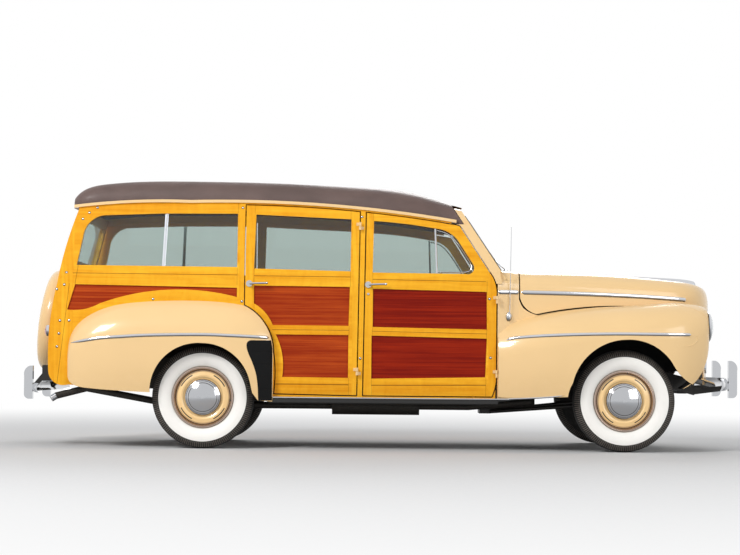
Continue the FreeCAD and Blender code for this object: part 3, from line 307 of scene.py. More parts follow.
def mahogany_finish(name, light, dark):
    """Varnished ribbon-grain panel: long level stripes, light and dark, with fine pores."""
    f = Finish(name)
    x, y, z = f.place()[1:]
    flat = x + y
    stripe = f.noise(f.vector(flat * 0.9, z * 62, y * 3), 1, 3, 0.55, 0.35)
    streak = f.noise(f.vector(flat * 5, z * 210, y * 8), 1, 3, 0.6)
    cloud = f.noise(f.vector(flat * 2.2, z * 5, y * 2), 1, 2)
    pores = f.noise(f.vector(flat * 30, z * 1400, y * 60), 1, 2)
    tone = f.ramp(stripe * 0.55 + streak * 0.25 + cloud * 0.22,
                  [(0.34, shade(dark, 0.85)), (0.46, dark), (0.58, between(light, dark)), (0.72, light)])
    tone = f.mixed(f.smooth(pores, 0.58, 0.75) * 0.25, tone, shade(dark, 0.5))
    return f.surface(tone, 0.3 + streak * 0.1, (stripe * 0.5 + pores * 0.3, 0.0006, 0.5),
                     {"Coat Weight": 0.07, "Coat Roughness": 0.08, "Specular IOR Level": 0.08})


def roof_finish(name, colour):
    """Grained waterproof fabric stretched over the roof."""
    f = Finish(name)
    point = f.place()[0]
    cell = f.cells(point, 190)
    weave = f.noise(point, 900, 2)
    cloud = f.noise(f.stretched(point, (1, 2.2, 1)), 3.2, 4, 0.6)
    fade = f.smooth(cloud, 0.35, 0.7)
    tone = f.mixed(fade * 0.6, shade(colour, 0.8), shade(colour, 1.35))
    # Painted shade: the grain's creases, at the cells' edges, are darker.
    tone = f.mixed((1 - f.smooth(cell, 0.0, 0.12)) * 0.5, tone, shade(colour, 0.5))
    grain = f.smooth(cell, 0.0, 0.2) + weave * 0.25
    return f.surface(tone, 0.46 + weave * 0.12 - fade * 0.06, (grain, 0.0009, 0.55),
                     {"Specular IOR Level": 0.5, "Coat Weight": 0.12, "Coat Roughness": 0.3})


def chrome_finish(name, colour=(0.5, 0.51, 0.53), rough=0.07, haze=0.07):
    """Plated brightwork with faint polishing haze and pitting, and a painted reflection: darker where the
    surface faces down.
    """
    f = Finish(name)
    point = f.place()[0]
    wipe = f.noise(f.stretched(point, (30, 30, 160)), 1, 3)
    pits = f.noise(point, 480, 2)
    normal_for_painted_reflection = f.node("ShaderNodeNewGeometry", out="Normal")
    up = f.node("ShaderNodeSeparateXYZ", inputs={0: normal_for_painted_reflection}).other("Z")
    # Painted reflection: the colour darkens where the normal points down, as if mirroring a dark ground, and
    # lightens where it points up.
    tone = f.mixed(f.smooth(up, -0.75, 0.3), shade(colour, 0.3), shade(colour, 1.25))
    tone = f.mixed(f.smooth(pits, 0.66, 0.8) * 0.4, tone, shade(colour, 0.45))
    return f.surface(tone, wipe * haze + (rough - haze / 2), (wipe, 0.0001, 0.1), {"Metallic": 1.0})


def rough_finish(name, colour, rough=0.6, metallic=0.0, scale=60, depth=0.0012, fleck=0.5):
    """Cast, sprayed or undersealed surface."""
    f = Finish(name)
    point = f.place()[0]
    lump = f.noise(point, scale, 4, 0.6)
    grit = f.noise(point, scale * 12, 2)
    tone = f.mixed(lump, shade(colour, 1 - fleck), shade(colour, 1 + fleck))
    return f.surface(tone, grit * 0.2 + (rough - 0.1), (lump + grit * 0.3, depth, 0.5),
                     {"Metallic": metallic})


def leather_finish(name, colour):
    """Upholstery hide: creased grain, worn lighter and darker in random patches."""
    f = Finish(name)
    point = f.place()[0]
    cell = f.cells(point, 260)
    wear = f.noise(point, 7, 4, 0.6)
    tone = f.mixed(wear, shade(colour, 0.7), shade(colour, 1.25))
    # Painted shade: the grain's creases, at the cells' edges, are darker.
    tone = f.mixed((1 - f.smooth(cell, 0.0, 0.1)) * 0.5, tone, shade(colour, 0.45))
    return f.surface(tone, 0.42 + wear * 0.2, (f.smooth(cell, 0.0, 0.18) + wear * 0.6, 0.0008, 0.6),
                     {"Specular IOR Level": 0.45})


def glass_finish(name, colour, rough=0.015):
    """Clear plate glass that lets the lamps through, with a faint film of dust; its colour tints it darker,
    as painted shade.
    """
    f = Finish(name)
    point = f.place()[0]
    film = f.noise(point, 5, 4, 0.65)
    clear = f.principled({"Base Color": colour, "Roughness": film * 0.03 + rough, "IOR": 1.45,
                          "Transmission Weight": 1.0})
    through = f.plain("ShaderNodeBsdfTransparent", shade(colour, 0.95))
    return f.close_between(f.node("ShaderNodeLightPath", out="Is Shadow Ray"), clear, through)


def lens_finish(name, colour, ribs, glow=0.0):
    """Moulded lamp glass with upright flutes, half metallic to stand in for the bright bowl behind it; light
    and shade are painted across each flute.
    """
    f = Finish(name)
    point, _, y, _ = f.place()
    flute = (y * ribs).sine()
    haze = f.noise(point, 60, 3)
    # Painted light and shade: each flute is lighter on one side and darker on the other.
    tone = f.mixed(f.smooth(flute, -1.0, 1.0) * 0.35 + haze * 0.15, colour, shade(colour, 0.6))
    return f.surface(tone, 0.06 + haze * 0.06, (flute + haze * 0.2, 0.0008, 0.6),
                     {"Metallic": 0.35, "Coat Weight": 1.0, "Coat Roughness": 0.02,
                      "Emission Color": colour, "Emission Strength": glow})


def tyre_finish(name, white, black):
    """White sidewall ring on a dark tyre with moulded ribs."""
    f = Finish(name)
    point, radius, angle, out = f.wheel_place()
    wall = f.band(radius, *WHITE_R, 0.0006) * f.smooth(out, 0.0, 0.01)
    mottle = f.noise(point, 14, 4, 0.6)
    grit = f.noise(point, 320, 3)
    pale = f.mixed(f.smooth(mottle, 0.45, 0.8) * 0.2, white, shade(white, 0.85))
    # Painted shade: a greyer band at the white wall's inner edge, where it meets the rim.
    pale = f.mixed(f.band(radius, 0.2, 0.217, 0.004) * 0.5, pale, linear("B9A98C"))
    dark = f.mixed(mottle, shade(black, 0.7), shade(black, 1.5))
    lug = (angle * 150).sine()
    worn = f.band(radius, 0.309, 0.343, 0.003) * f.smooth(lug, -0.2, 0.5)
    dark = f.mixed(worn * 0.75, dark, linear("6E655D"))
    rings = (radius * 1900).sine()
    ribs = f.band(radius, 0.306, 0.322, 0.001) * rings
    return f.surface(f.mixed(wall, dark, pale), 0.62 + grit * 0.15 - wall * 0.12,
                     (ribs * 0.4 + grit * 0.35, 0.0009, 0.6))


def wheel_finish(name, colour, metal, line):
    """Enamelled pressed wheel: vent slots, bright ring at the rim, plated hub cap, and painted shade and
    reflection.
    """
    f = Finish(name)
    point, radius, angle, out = f.wheel_place()
    peel = f.noise(point, 500, 2)
    tone = f.mixed(f.noise(point, 22, 3), shade(colour, 0.94), shade(colour, 1.04))
    # Painted shade: soft darker rings on the disc at about 136 mm and at its edge by the bright ring, 176 to
    # 184 mm, in the line colour.
    soft = f.band(radius, 0.133, 0.139, 0.004) * 0.35 + f.band(radius, 0.176, 0.184, 0.003) * 0.5
    tone = f.mixed(soft, tone, line)
    # The vent slots are not cut: they are painted near black, as painted shade in the openings.
    turn = (angle + 7.854).fold(0.7854)
    slot = f.band(radius, 0.1625, 0.1695, 0.0008) * f.smooth(turn, 0.45, 0.47)
    tone = f.mixed(slot, tone, linear("100B08"))
    face = f.smooth(out, 0.0, 0.01)
    ring = f.band(radius, *RING_R, 0.0005) * face
    cap = (1 - f.smooth(radius, CAP_R, CAP_R + 0.0008)) * face
    bright = ring + cap
    tone = f.mixed(bright, tone, metal)
    # Painted reflection: the bright ring is tinted tan, as if mirroring the enamelled disc.
    tone = f.mixed(ring * 0.5, tone, linear("B98A58"))
    # Painted shade: dark lines at the steps and edges of the bright ring and the hub cap, which the bump also
    # sinks.
    marks = f.line(radius - 0.1865, 0.0022)
    for mark_r, wide in ((0.1935, 0.0016), (0.2008, 0.0016), (RING_R[1], 0.003), (0.0985, 0.003),
                         (0.1125, 0.0022), (CAP_R, 0.0025)):
        marks = marks + f.line(radius - mark_r, wide)
    tone = f.mixed(marks * 0.85, tone, linear("2E1A0E"))
    # Painted shade: dark brown on the wheel's inboard side, more than 30 mm in from its face.
    tone = f.mixed(1 - f.smooth(out, -0.03, -0.02), tone, linear("241C16"))
    height = peel * 0.2 - slot * 3 - marks - soft * 0.5
    return f.surface(tone, 0.3 - bright * 0.22 + peel * 0.03, (height, 0.0008, 0.4),
                     {"Metallic": bright, "Coat Weight": 0.4 - bright * 0.4, "Coat Roughness": 0.06})


def shield_finish(name, colour):
    """Ribbed rubber stone guard."""
    f = Finish(name)
    point, _, _, z = f.place()
    rib = (z + 0.011).fold(0.0425)
    groove = 1 - f.smooth(rib, 0.0006, 0.0026)
    grit = f.noise(point, 420, 3)
    tone = f.mixed(f.noise(point, 8, 3), shade(colour, 0.8), shade(colour, 1.3))
    # Painted shade: the grooves between the ribs are darker.
    tone = f.mixed(groove * 0.7, tone, shade(colour, 0.3))
    return f.surface(tone, 0.55 + grit * 0.18, (grit * 0.2 - groove, 0.0016, 0.6),
                     {"Specular IOR Level": 0.15})


def mat_finish(name, colour):
    """Ribbed rubber floor mat."""
    f = Finish(name)
    point, _, y, _ = f.place()
    rib = (y * 900).sine()
    grit = f.noise(point, 200, 3)
    tone = f.mixed(f.noise(point, 6, 3), shade(colour, 0.8), shade(colour, 1.25))
    return f.surface(tone, 0.7 + grit * 0.1, (rib * 0.5 + grit * 0.3, 0.001, 0.5))


# Objects and meshes
def linked(name, data):
    """A new object in the scene for some data."""
    obj = bpy.data.objects.new(name, data)
    bpy.context.scene.collection.objects.link(obj)
    return obj


def mesh_object(name, bm):
    """A new object in the scene with the bmesh's mesh, which it frees."""
    mesh = bpy.data.meshes.new(name)
    bm.to_mesh(mesh)
    bm.free()
    return linked(name, mesh)


def smooth_shaded(mesh):
    mesh.polygons.foreach_set("use_smooth", [True] * len(mesh.polygons))


def add_piece(name, bm, finish, body, slot=None, sharp=35):
    """Turns a bmesh into a smooth-shaded piece that rides on a body."""
    obj = mesh_object(name, bm)
    obj.data.materials.append(finish)
    smooth_shaded(obj.data)
    obj.data.set_sharp_from_angle(angle=math.radians(sharp))
    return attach(obj, body)


def tidy(bm, distance=1e-6):
    bmesh.ops.remove_doubles(bm, verts=bm.verts, dist=distance)
    bmesh.ops.recalc_face_normals(bm, faces=bm.faces)
    return bm


def block(low, high, offset, segments):
    """A box between two corners with rounded edges."""
    bm = bmesh.new()
    for vert in bmesh.ops.create_cube(bm, size=1)["verts"]:
        vert.co = Vector([a + (b - a) * (t + 0.5) for a, b, t in zip(low, high, vert.co)])
    bmesh.ops.bevel(bm, geom=bm.edges[:], offset=offset, segments=segments, affect="EDGES", profile=0.5,
                    material=-1)
    return bm


def sheet(name, rows, across, place, thick, finish, slot=None, sharp=50, turn=False):
    """A thin sheet on the body: place(u, v) gives the points of a grid, with u and v from 0 to 1."""
    bm = bmesh.new()
    for vert in bmesh.ops.create_grid(bm, x_segments=rows, y_segments=across, size=1)["verts"]:
        vert.co = place((vert.co.x + 1) / 2, (vert.co.y + 1) / 2)
    if turn:
        bmesh.ops.recalc_face_normals(bm, faces=bm.faces)
    bmesh.ops.solidify(bm, geom=bm.faces[:], thickness=thick)
    return add_piece(name, tidy(bm), finish, "body", slot, sharp)


def sweep(bm, places, section):
    """Carries a closed section along places: origin, across and outward directions, and two scales."""
    rows, count = len(places) - 1, len(section)
    grid = bmesh.ops.create_grid(bm, x_segments=rows, y_segments=count, size=1)["verts"]
    for vert in grid:
        origin, across, outward, wide, tall = places[round((vert.co.x + 1) / 2 * rows)]
        a, b = section[round((vert.co.y + 1) / 2 * count) % count]
        vert.co = origin + across * (a * wide) + outward * (b * tall)
    bmesh.ops.remove_doubles(bm, verts=grid, dist=1e-6)
    rims = [edge for edge in bm.edges if edge.is_boundary]
    if rims:
        bmesh.ops.holes_fill(bm, edges=rims, sides=0)
    bmesh.ops.recalc_face_normals(bm, faces=bm.faces)
    return bm


def turned(bm, rows, origin, axis, steps=24):
    """A profile of rows (radius, along) in millimetres, spun about an axis."""
    axis = Vector(axis).normalized()
    turn = axis.to_track_quat("Z", "Y")
    verts = [bm.verts.new(origin + turn @ Vector((r / 1000, 0, s / 1000))) for r, s in rows]
    edges = [bm.edges.new(pair) for pair in zip(verts, verts[1:])]
    bmesh.ops.spin(bm, geom=verts + edges, cent=origin, axis=axis, angle=2 * math.pi, steps=steps,
                   use_merge=True, use_duplicate=False)
    return tidy(bm)


def circle(count=10):
    return [(math.cos(2 * math.pi * n / count), math.sin(2 * math.pi * n / count)) for n in range(count)]


# Half-round moulding, slightly let in: across and outward shares
MOULDING = [(-1, -0.3), (-1, 0.25), (-0.8, 0.66), (-0.42, 0.92), (0, 1), (0.42, 0.92), (0.8, 0.66),
            (1, 0.25), (1, -0.3)]


def curve_through(points, count):
    """Points spaced along a smooth line through the given ones."""
    points = [Vector(p) for p in points]
    ends = [points[0] * 2 - points[1]] + points + [points[-1] * 2 - points[-2]]
    out = []
    for n in range(count + 1):
        t = n / count * (len(points) - 1)
        k = min(int(t), len(points) - 2)
        u = t - k
        a, b, c, d = ends[k:k + 4]
        out.append(0.5 * (2 * b + (c - a) * u + (2 * a - 5 * b + 4 * c - d) * u ** 2
                          + (3 * b - a - 3 * c + d) * u ** 3))
    return out


def tube_places(points, radius, closed=False, reference=Vector((0, 0, 1))):
    """Places for a round tube along points."""
    places = []
    last = len(points) - 1
    for n, point in enumerate(points):
        before = points[n - 1] if n or closed else point
        after = points[(n + 1) % len(points)] if n < last or closed else point
        along = (after - before).normalized()
        across = along.cross(reference)
        if across.length < 1e-3:
            across = along.cross(Vector((1, 0, 0)))
        across.normalize()
        places.append((point, across, across.cross(along), radius, radius))
    if closed:
        places.append(places[0])
    return places


def surface_of(*nodes):
    """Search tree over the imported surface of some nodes."""
    bm = bmesh.new()
    for node in nodes:
        bm.from_mesh(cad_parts[node].data)
    tree = BVHTree.FromBMesh(bm)
    bm.free()
    return tree


def onto(tree, x, z, side):
    """Where a level line from the side meets a surface: the point and its outward normal."""
    start = at(x, side * 1200, z)
    hit, normal = tree.ray_cast(start, Vector((0, -side, 0)))[:2]
    if hit is None:
        raise RuntimeError(f"no surface at {x}, {z}")
    return hit, normal if normal.y * side > 0 else -normal


def on_top(tree, x, y):
    """Where a plumb line from above meets a surface."""
    return tree.ray_cast(at(x, y, 2500), Vector((0, 0, -1)))[0]


def strip_places(tree, points, side, count, high, proud, points_at=(0.05, 0.02)):
    """Places for a moulding laid on the bodywork, pointed at its ends."""
    line = curve_through([(x, z, 0) for x, z in points], count)
    hits = [onto(tree, p.x, p.y, side) for p in line]
    places = []
    for n, (hit, normal) in enumerate(hits):
        along = (hits[min(n + 1, count)][0] - hits[max(n - 1, 0)][0]).normalized()
        across = normal.cross(along).normalized()
        share = n / count
        size = min(1, share / points_at[0] + 0.02, (1 - share) / points_at[1] + 0.02) ** 0.7
        places.append((hit, across, normal, high / 2000 * size, proud / 1000 * size))
    return places


def dress(node, finishes, choose=None):
    """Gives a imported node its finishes, face by face where choose says which."""
    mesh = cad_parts[node].data
    mesh.materials.clear()
    for finish in finishes:
        mesh.materials.append(finish)
    if choose:
        for face in mesh.polygons:
            c = face.center
            face.material_index = choose(c.x * 1000 + MID_X, c.y * 1000, c.z * 1000, face.normal)


# Settings
def tint(name, description, code):
    return bpy.props.FloatVectorProperty(name=name, description=description, subtype="COLOR", size=3,
                                         min=0, max=1, default=linear(code))


def amount(name, description, default, low, high):
    return bpy.props.FloatProperty(name=name, description=description, default=default, min=low, max=high)


class FinishSettings(bpy.types.PropertyGroup):
    paint: tint("Paint", "Enamel of the fenders, hood and cowl", "F0CB92")
    maple_light: tint("Maple, light", "Light figure of the wooden frame", "FBBB2C")
    maple_dark: tint("Maple, dark", "Dark figure of the wooden frame", "E08E08")
    mahogany_light: tint("Mahogany, light", "Light stripes of the front doors' panels", "A52A09")
    mahogany_dark: tint("Mahogany, dark", "Dark stripes of the front doors' panels", "7A1203")
    sunned_light: tint("Sunned mahogany, light", "Light stripes of the rear panels", "C4521A")
    sunned_dark: tint("Sunned mahogany, dark", "Dark stripes of the rear panels", "962C08")
    roof: tint("Roof cover", "Grained fabric of the roof", "5D4842")
    wheel: tint("Wheels", "Enamel of the wheel discs", "FFD596")
    hide: tint("Upholstery", "Hide of the three benches", "7E4526")


class TrimSettings(bpy.types.PropertyGroup):
    fender_strip: amount("Fender strip", "Height of the fender mouldings in mm", 22, 8, 40)
    hood_strip: amount("Hood strip", "Height of the hood's side mouldings in mm", 29, 8, 50)
    proud: amount("Stand-out", "How far the mouldings stand out in mm", 8, 2, 20)
    bolt: amount("Bolt head", "Radius of the carriage bolt heads in mm", 7.5, 3, 12)
    mast: amount("Aerial mast", "Radius of the aerial's mast in mm", 2.6, 1, 6)


class SeatSettings(bpy.types.PropertyGroup):
    voxel: amount("Mesh size", "Cell of the cushions' mesh in mm", 13, 6, 30)
    pressure: amount("Stuffing pressure", "Cloth pressure that swells the cushions", 4, 0, 10)
    swell: amount("Swell", "Most that a cushion's skin may move out in mm", 20, 0, 40)
    pleat: amount("Pleat pitch", "Distance between sewn pleats in mm", 86, 40, 200)


class StageSettings(bpy.types.PropertyGroup):
    lens: amount("Lens", "Focal length on a 36 mm sensor", 102.6, 20, 300)
    pitch: amount("Pitch", "How far the camera looks up, in degrees", 2.13, -90, 90)
    roll: amount("Roll", "How far the camera is tilted, in degrees", 0.55, -90, 90)
    key: amount("Key lamp", "Power of the main lamp", 980, 0, 9000)
    sky: amount("Sky", "Strength of the even light from all round", 0.46, 0, 3)


FINISH = {}


class WAGON_OT_finishes(bpy.types.Operator):
    """Make the finishes that all pieces share"""

    bl_idname = "wagon.finishes"
    bl_label = "Finishes"

    def execute(self, context):
        s = context.scene.wagon_finish
        light, dark = tuple(s.maple_light), tuple(s.maple_dark)
        FINISH["paint"] = paint_finish("cream_enamel", tuple(s.paint))
        FINISH["maple_gate"] = maple_finish("maple_gate", light, dark)
        FINISH["maple_side"] = maple_finish(
            "maple_side", light, dark,
            stiles=((-1200, -905), (227, 300), (1040, 1120), (1640, 2040)),
            joints=((227, 1125, 1242), (227, 1620, 1700)),
            grooves=((-905, 1197.5, 227, 1194, 3.2),),
            slants=((-947, 942, 0.109, 440, 1125), (-868, 1253, 0.148, 1118, 1260)))
        FINISH["maple_rear_door"] = maple_finish(
            "maple_rear_door", light, dark,
            stiles=((270, 343.5), (1006.5, 1080)),
            joints=((343.5, 1123, 1240), (343.5, 1612, 1700), (1006.5, 1119, 1228), (1001, 788, 851),
                    (1001, 370, 495), (1006.5, 1588, 1700)),
            grooves=((344, 1190, 1006, 1187, 3.2), (470, 820, 1000, 820, 2.6), (500, 447, 1000, 446, 5)))
        FINISH["maple_front_door"] = maple_finish(
            "maple_front_door", light, dark,
            stiles=((1090, 1161), (1948, 2040)),
            joints=((1161, 1108, 1220), (1161, 786, 845), (1158, 370, 490), (1948, 1060, 1168),
                    (1948, 772, 836), (1944, 370, 506), (1163, 1578, 1700)),
            grooves=((1161, 1172, 1940, 1164, 3.2), (1161, 816, 1948, 804, 2.6), (1158, 444, 1944, 452, 5)))
        FINISH["mahogany"] = mahogany_finish(
            "mahogany_panel", tuple(s.mahogany_light), tuple(s.mahogany_dark))
        FINISH["mahogany_rear"] = mahogany_finish(
            "mahogany_rear_panel", tuple(s.sunned_light), tuple(s.sunned_dark))
        # Painted shade: the roof lining is given a dark brown wood, darkened for the shade inside the roof.
        FINISH["lining"] = mahogany_finish("roof_lining", linear("8A5A30"), linear("5A3418"))
        FINISH["roof"] = roof_finish("roof_fabric", tuple(s.roof))
        FINISH["chrome"] = chrome_finish("chrome_plate")
        FINISH["satin"] = chrome_finish("satin_metal", (0.55, 0.57, 0.6), 0.22, 0.1)
        FINISH["black"] = rough_finish("black_enamel", linear("15130F"), 0.42, 0.0, 40, 0.0006)
        FINISH["underseal"] = rough_finish("underseal", linear("0B0A09"), 0.9, 0.0, 110, 0.002)
        FINISH["iron"] = rough_finish("cast_iron", linear("3A3733"), 0.6, 0.6, 70, 0.001)
        FINISH["rubber"] = rough_finish("black_rubber", linear("121212"), 0.55, 0.0, 90, 0.0006)
        FINISH["shield"] = shield_finish("stone_guard_rubber", linear("0A0B0C"))
        FINISH["mat"] = mat_finish("floor_mat", linear("2A211B"))
        # Painted shade: the glass is tinted a dark grey-green to darken the view through the windows.
        FINISH["glass"] = glass_finish("plate_glass", (0.6, 0.67, 0.645))
        FINISH["lens"] = lens_finish("lamp_glass", linear("E6ECEE"), 1300)
        FINISH["ruby"] = lens_finish("ruby_glass", linear("A50F0A"), 1800)
        FINISH["hide"] = leather_finish("seat_hide", tuple(s.hide))
        FINISH["dash"] = paint_finish("dash_enamel", linear("6E4A30"), 0.35, 0.5)
        FINISH["ivory"] = paint_finish("ivory_plastic", linear("E4D6B2"), 0.3, 0.4)
        FINISH["wheel"] = wheel_finish("wheel_enamel", tuple(s.wheel), (0.5, 0.51, 0.53), linear("5A2E14"))
        FINISH["tyre"] = tyre_finish("tyre_rubber", linear("FAF7F1"), linear("1A1917"))
        return {"FINISHED"}


# How far a part of the woodwork stands out from the wall's face: fittings lie above it, and the panels'
# outer and inner faces between these depths, in millimetres
PROUD = 1.2
PANEL_OUT, PANEL_IN = (-13, -11), (-24, -20)


def within(value, limits):
    return limits[0] < value < limits[1]


def door_face(kind):
    """Chooses between the door's frame, panels, handle and hinges: 0 to 3."""
    panels = {"rear": (330, 1012), "front": (1150, 1958)}[kind]

    def choose(x, y, z, normal):
        out = abs(y) - wall_y(z)
        if out > PROUD:
            near_handle = 1100 < z < 1175 and x < panels[0] + 120
            return 2 if near_handle else 3
        sunk = within(out, PANEL_OUT) or within(out, PANEL_IN)
        return int(sunk and z < 1130 and abs(normal.y) > 0.9 and within(x, panels))

    return choose


def outer(y, z, normal, low=900):
    """True on the outside of a shell about the car's middle."""
    return normal.y * y + normal.z * (z - low) * 0.6 + abs(normal.x) * 60 > 0


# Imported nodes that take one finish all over
PLAIN_NODES = {
    "black": ("chassis_frame", "front_axle", "rear_axle", "fuel_tank", "knuckle_right", "knuckle_left"),
    "iron": ("engine_block",),
    "dash": ("dashboard",),
    "ivory": ("steering_wheel",),
    "glass": ("fixed_glass", "liftgate_glass", "front_door_glass_right", "front_door_glass_left",
              "rear_door_glass_right", "rear_door_glass_left"),
    "paint": ("spare_wheel",),
    "rubber": ("running_boards",),
    "chrome": ("grille",),
    "maple_gate": ("liftgate",),
    "wheel": ("wheel_front_right", "wheel_front_left", "wheel_rear_right", "wheel_rear_left"),
    "tyre": ("tyre_front_right", "tyre_front_left", "tyre_rear_right", "tyre_rear_left"),
}


class WAGON_OT_dress_nodes(bpy.types.Operator):
    """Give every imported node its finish"""

    bl_idname = "wagon.dress_nodes"
    bl_label = "Finish the solids"

    def execute(self, context):
        f = FINISH
        for finish, nodes in PLAIN_NODES.items():
            for node in nodes:
                dress(node, [f[finish]])
        # The tail pipe's end is bright
        dress("exhaust", [f["iron"], f["satin"]], lambda x, y, z, n: int(x < -1010))
        # The gate's hinges are painted; faces towards the road, the wheels and the engine are undersealed
        dress("floor_pan", [f["mat"], f["underseal"], f["paint"]],
              lambda x, y, z, n: 2 if x < -1040 else int(n.z < -0.3 or abs(y) > 735 or x > 2085))

        def roof_face(x, y, z, n):
            """Fabric, the painted gate hinges and roof edge, or the lining."""
            hinge = x < -884 and z < 1662 and within(abs(y), (370, 470))
            edge = abs(y) - wall_y(z) > 12.3 or (abs(y) > 735 and z < 1712 and n.z < -0.5)
            if hinge or edge:
                return 1
            inside = n.z < -0.2 or (abs(y) < 735 and n.y * y < 0 and abs(n.y) > 0.3)
            return 2 if inside else 0

        dress("roof", [f["roof"], f["paint"], f["lining"]], roof_face)
        dress("cowl", [f["paint"], f["black"]],
              lambda x, y, z, n: int(z < 1235 and x > 2030 and not outer(y, z, n, 1100)))
        dress("hood", [f["paint"], f["black"]], lambda x, y, z, n: int(not outer(y, z, n)))
        dress("nose_panel", [f["paint"], f["black"]],
              lambda x, y, z, n: int(n.x < -0.3 or (n.z < -0.5 and z > 960)))
        # Undersealed where the faces look at the wheel, but for the front fenders' crowns
        for node, axle in (("front_fenders", WHEELBASE), ("rear_fenders", 0)):
            dress(node, [f["paint"], f["underseal"]], lambda x, y, z, n: int(
                (x - axle) * n.x + (y - math.copysign(640, y)) * n.y + (z - 560) * n.z < 0
                and not (x > CROWN_X and z > 975 and abs(y) < CROWN_OUTER)))
        # The bumpers' bracket arms are black
        for node in ("front_bumper", "rear_bumper"):
            dress(node, [f["chrome"], f["black"]], lambda x, y, z, n: int(
                3440 < x < 3655 and abs(y) < 380 or -1215 < x < -1140 and 440 < abs(y) < 500))

        def lamp_face(x, y, z, n):
            """Plated shells, and the glasses of the tail, parking and head lamps."""
            if x < 0:
                return 2 if x < -1085 and math.hypot(abs(y) - 745, z - 800) < 37 else 0
            if z > 950 and abs(y) < 560:
                return 1 if n.x > 0.8 else 0
            return 1 if x > 3508 and math.hypot(abs(y) - 640, z - 866) < 90 else 0

        dress("lamps", [f["chrome"], f["lens"], f["ruby"]], lamp_face)

        def side_face(x, y, z, n):
            """Frame, quarter panel, or the painted hinges."""
            out = abs(y) - wall_y(z)
            if out > PROUD:
                return 2
            return int(within(out, PANEL_OUT) and abs(n.y) > 0.9 and z < 1125 and -960 < x < 228)

        dress("body_sides", [f["maple_side"], f["mahogany_rear"], f["paint"]], side_face)
        for side in ("right", "left"):
            for kind in ("rear", "front"):
                panel = f["mahogany_rear" if kind == "rear" else "mahogany"]
                dress(f"{kind}_door_{side}", [f[f"maple_{kind}_door"], panel, f["chrome"], f["paint"]],
                      door_face(kind))

        lean = math.atan2(75, 580)

        def gate_face(x, y, z, n):
            """Frame, panels, or the painted hinges and fittings."""
            depth = (x + 1060) * math.cos(lean) - (z - 660) * math.sin(lean)
            if depth < -1 or (z < 672 and 380 < abs(y) < 460):
                return 2
            return int(10 < depth < 24 and abs(n.x) > 0.8 and abs(y) < 650 and 700 < z < 1200)

        dress("tailgate", [f["maple_gate"], f["mahogany_rear"], f["paint"]], gate_face)
        return {"FINISHED"}


# Courses of the mouldings in the side view, in station millimetres: x, z
FRONT_BEAD = [(3200, 730), (3283, 730), (3340, 736), (3374, 756), (3392, 778), (3390, 796), (3372, 809)]
REAR_STRIP = [(-908, 716), (-834, 729), (-696, 751), (-559, 762), (-354, 774), (-13, 781), (191, 776),
              (394, 768), (456, 764)]
FRONT_STRIP = [(2080, 764), (2134, 778), (2303, 793), (2575, 806), (2848, 812), (3121, 812), (3345, 812)]
COWL_STRIP = [(2024, 1094), (2100, 1095), (2172, 1095)]
HOOD_STRIP = [(2188, 1095), (2500, 1091), (2746, 1086), (3030, 1077), (3318, 1062), (3345, 1058)]


class WAGON_OT_mouldings(bpy.types.Operator):
    """Lay the bright mouldings on the fenders, cowl and hood"""

    bl_idname = "wagon.mouldings"
    bl_label = "Mouldings"

    def execute(self, context):
        s = context.scene.wagon_trim
        runs = (
            ("front_fender_bead", ("front_fenders",), FRONT_BEAD, 6, (0.3, 0.2), "body", 48),
            ("rear_fender_strip", ("rear_fenders",), REAR_STRIP, s.fender_strip, (0.16, 0.05), "body", 90),
            ("front_fender_strip", ("front_fenders", "cowl"), FRONT_STRIP, s.fender_strip, (0.1, 0.012),
             "body", 90),
            ("cowl_strip", ("cowl",), COWL_STRIP, s.hood_strip, (0.05, 0.02), "body", 16),
            ("hood_strip", ("hood",), HOOD_STRIP, s.hood_strip, (0.01, 0.05), "hood", 90),
        )
        for name, nodes, points, high, pointed, body, count in runs:
            tree = surface_of(*nodes)
            finish, proud = ("paint", 2) if name == "front_fender_bead" else ("chrome", s.proud)
            for side, word in SIDES:
                places = strip_places(tree, points, side, count, high, proud, pointed)
                bm = sweep(bmesh.new(), places, MOULDING)
                add_piece(f"{name}_{word}", bm, FINISH[finish], body, finish, 50)
        return {"FINISHED"}


BLADE_X, BLADE_LONG = 3030, 478


class WAGON_OT_ornament(bpy.types.Operator):
    """Model the plated blade along the hood's crown"""

    bl_idname = "wagon.ornament"
    bl_label = "Hood blade"

    def execute(self, context):
        tree = surface_of("hood")
        places = []
        count = 60
        for n in range(count + 1):
            share = n / count
            hit = on_top(tree, BLADE_X + BLADE_LONG * share, 0)
            end = min(1, share / 0.05 + 0.02, (1 - share) / 0.03 + 0.05) ** 0.6
            wide = (9 + 12 * math.sin(math.pi * min(1, share * 0.95)) ** 0.8) / 1000
            tall = (11 + 22 * share) / 1000
            places.append((hit, Vector((0, 1, 0)), Vector((0.05, 0, 1)), wide * end, tall * end))
        section = [(-1, -0.25), (-0.9, 0.12), (-0.45, 0.3), (-0.3, 0.75), (0, 1), (0.3, 0.75), (0.45, 0.3),
                   (0.9, 0.12), (1, -0.25)]
        bm = sweep(bmesh.new(), places, section)
        add_piece("hood_blade", bm, FINISH["chrome"], "hood", "chrome", 60)
        return {"FINISHED"}


# Top edge of the panel behind the hood's rear corner: x, z
CORNER_EDGE = [(2169, 1064), (2171, 1048), (2179, 1028), (2189, 1006), (2204, 985), (2227, 968), (2255, 953),
               (2289, 941), (2314, 936)]


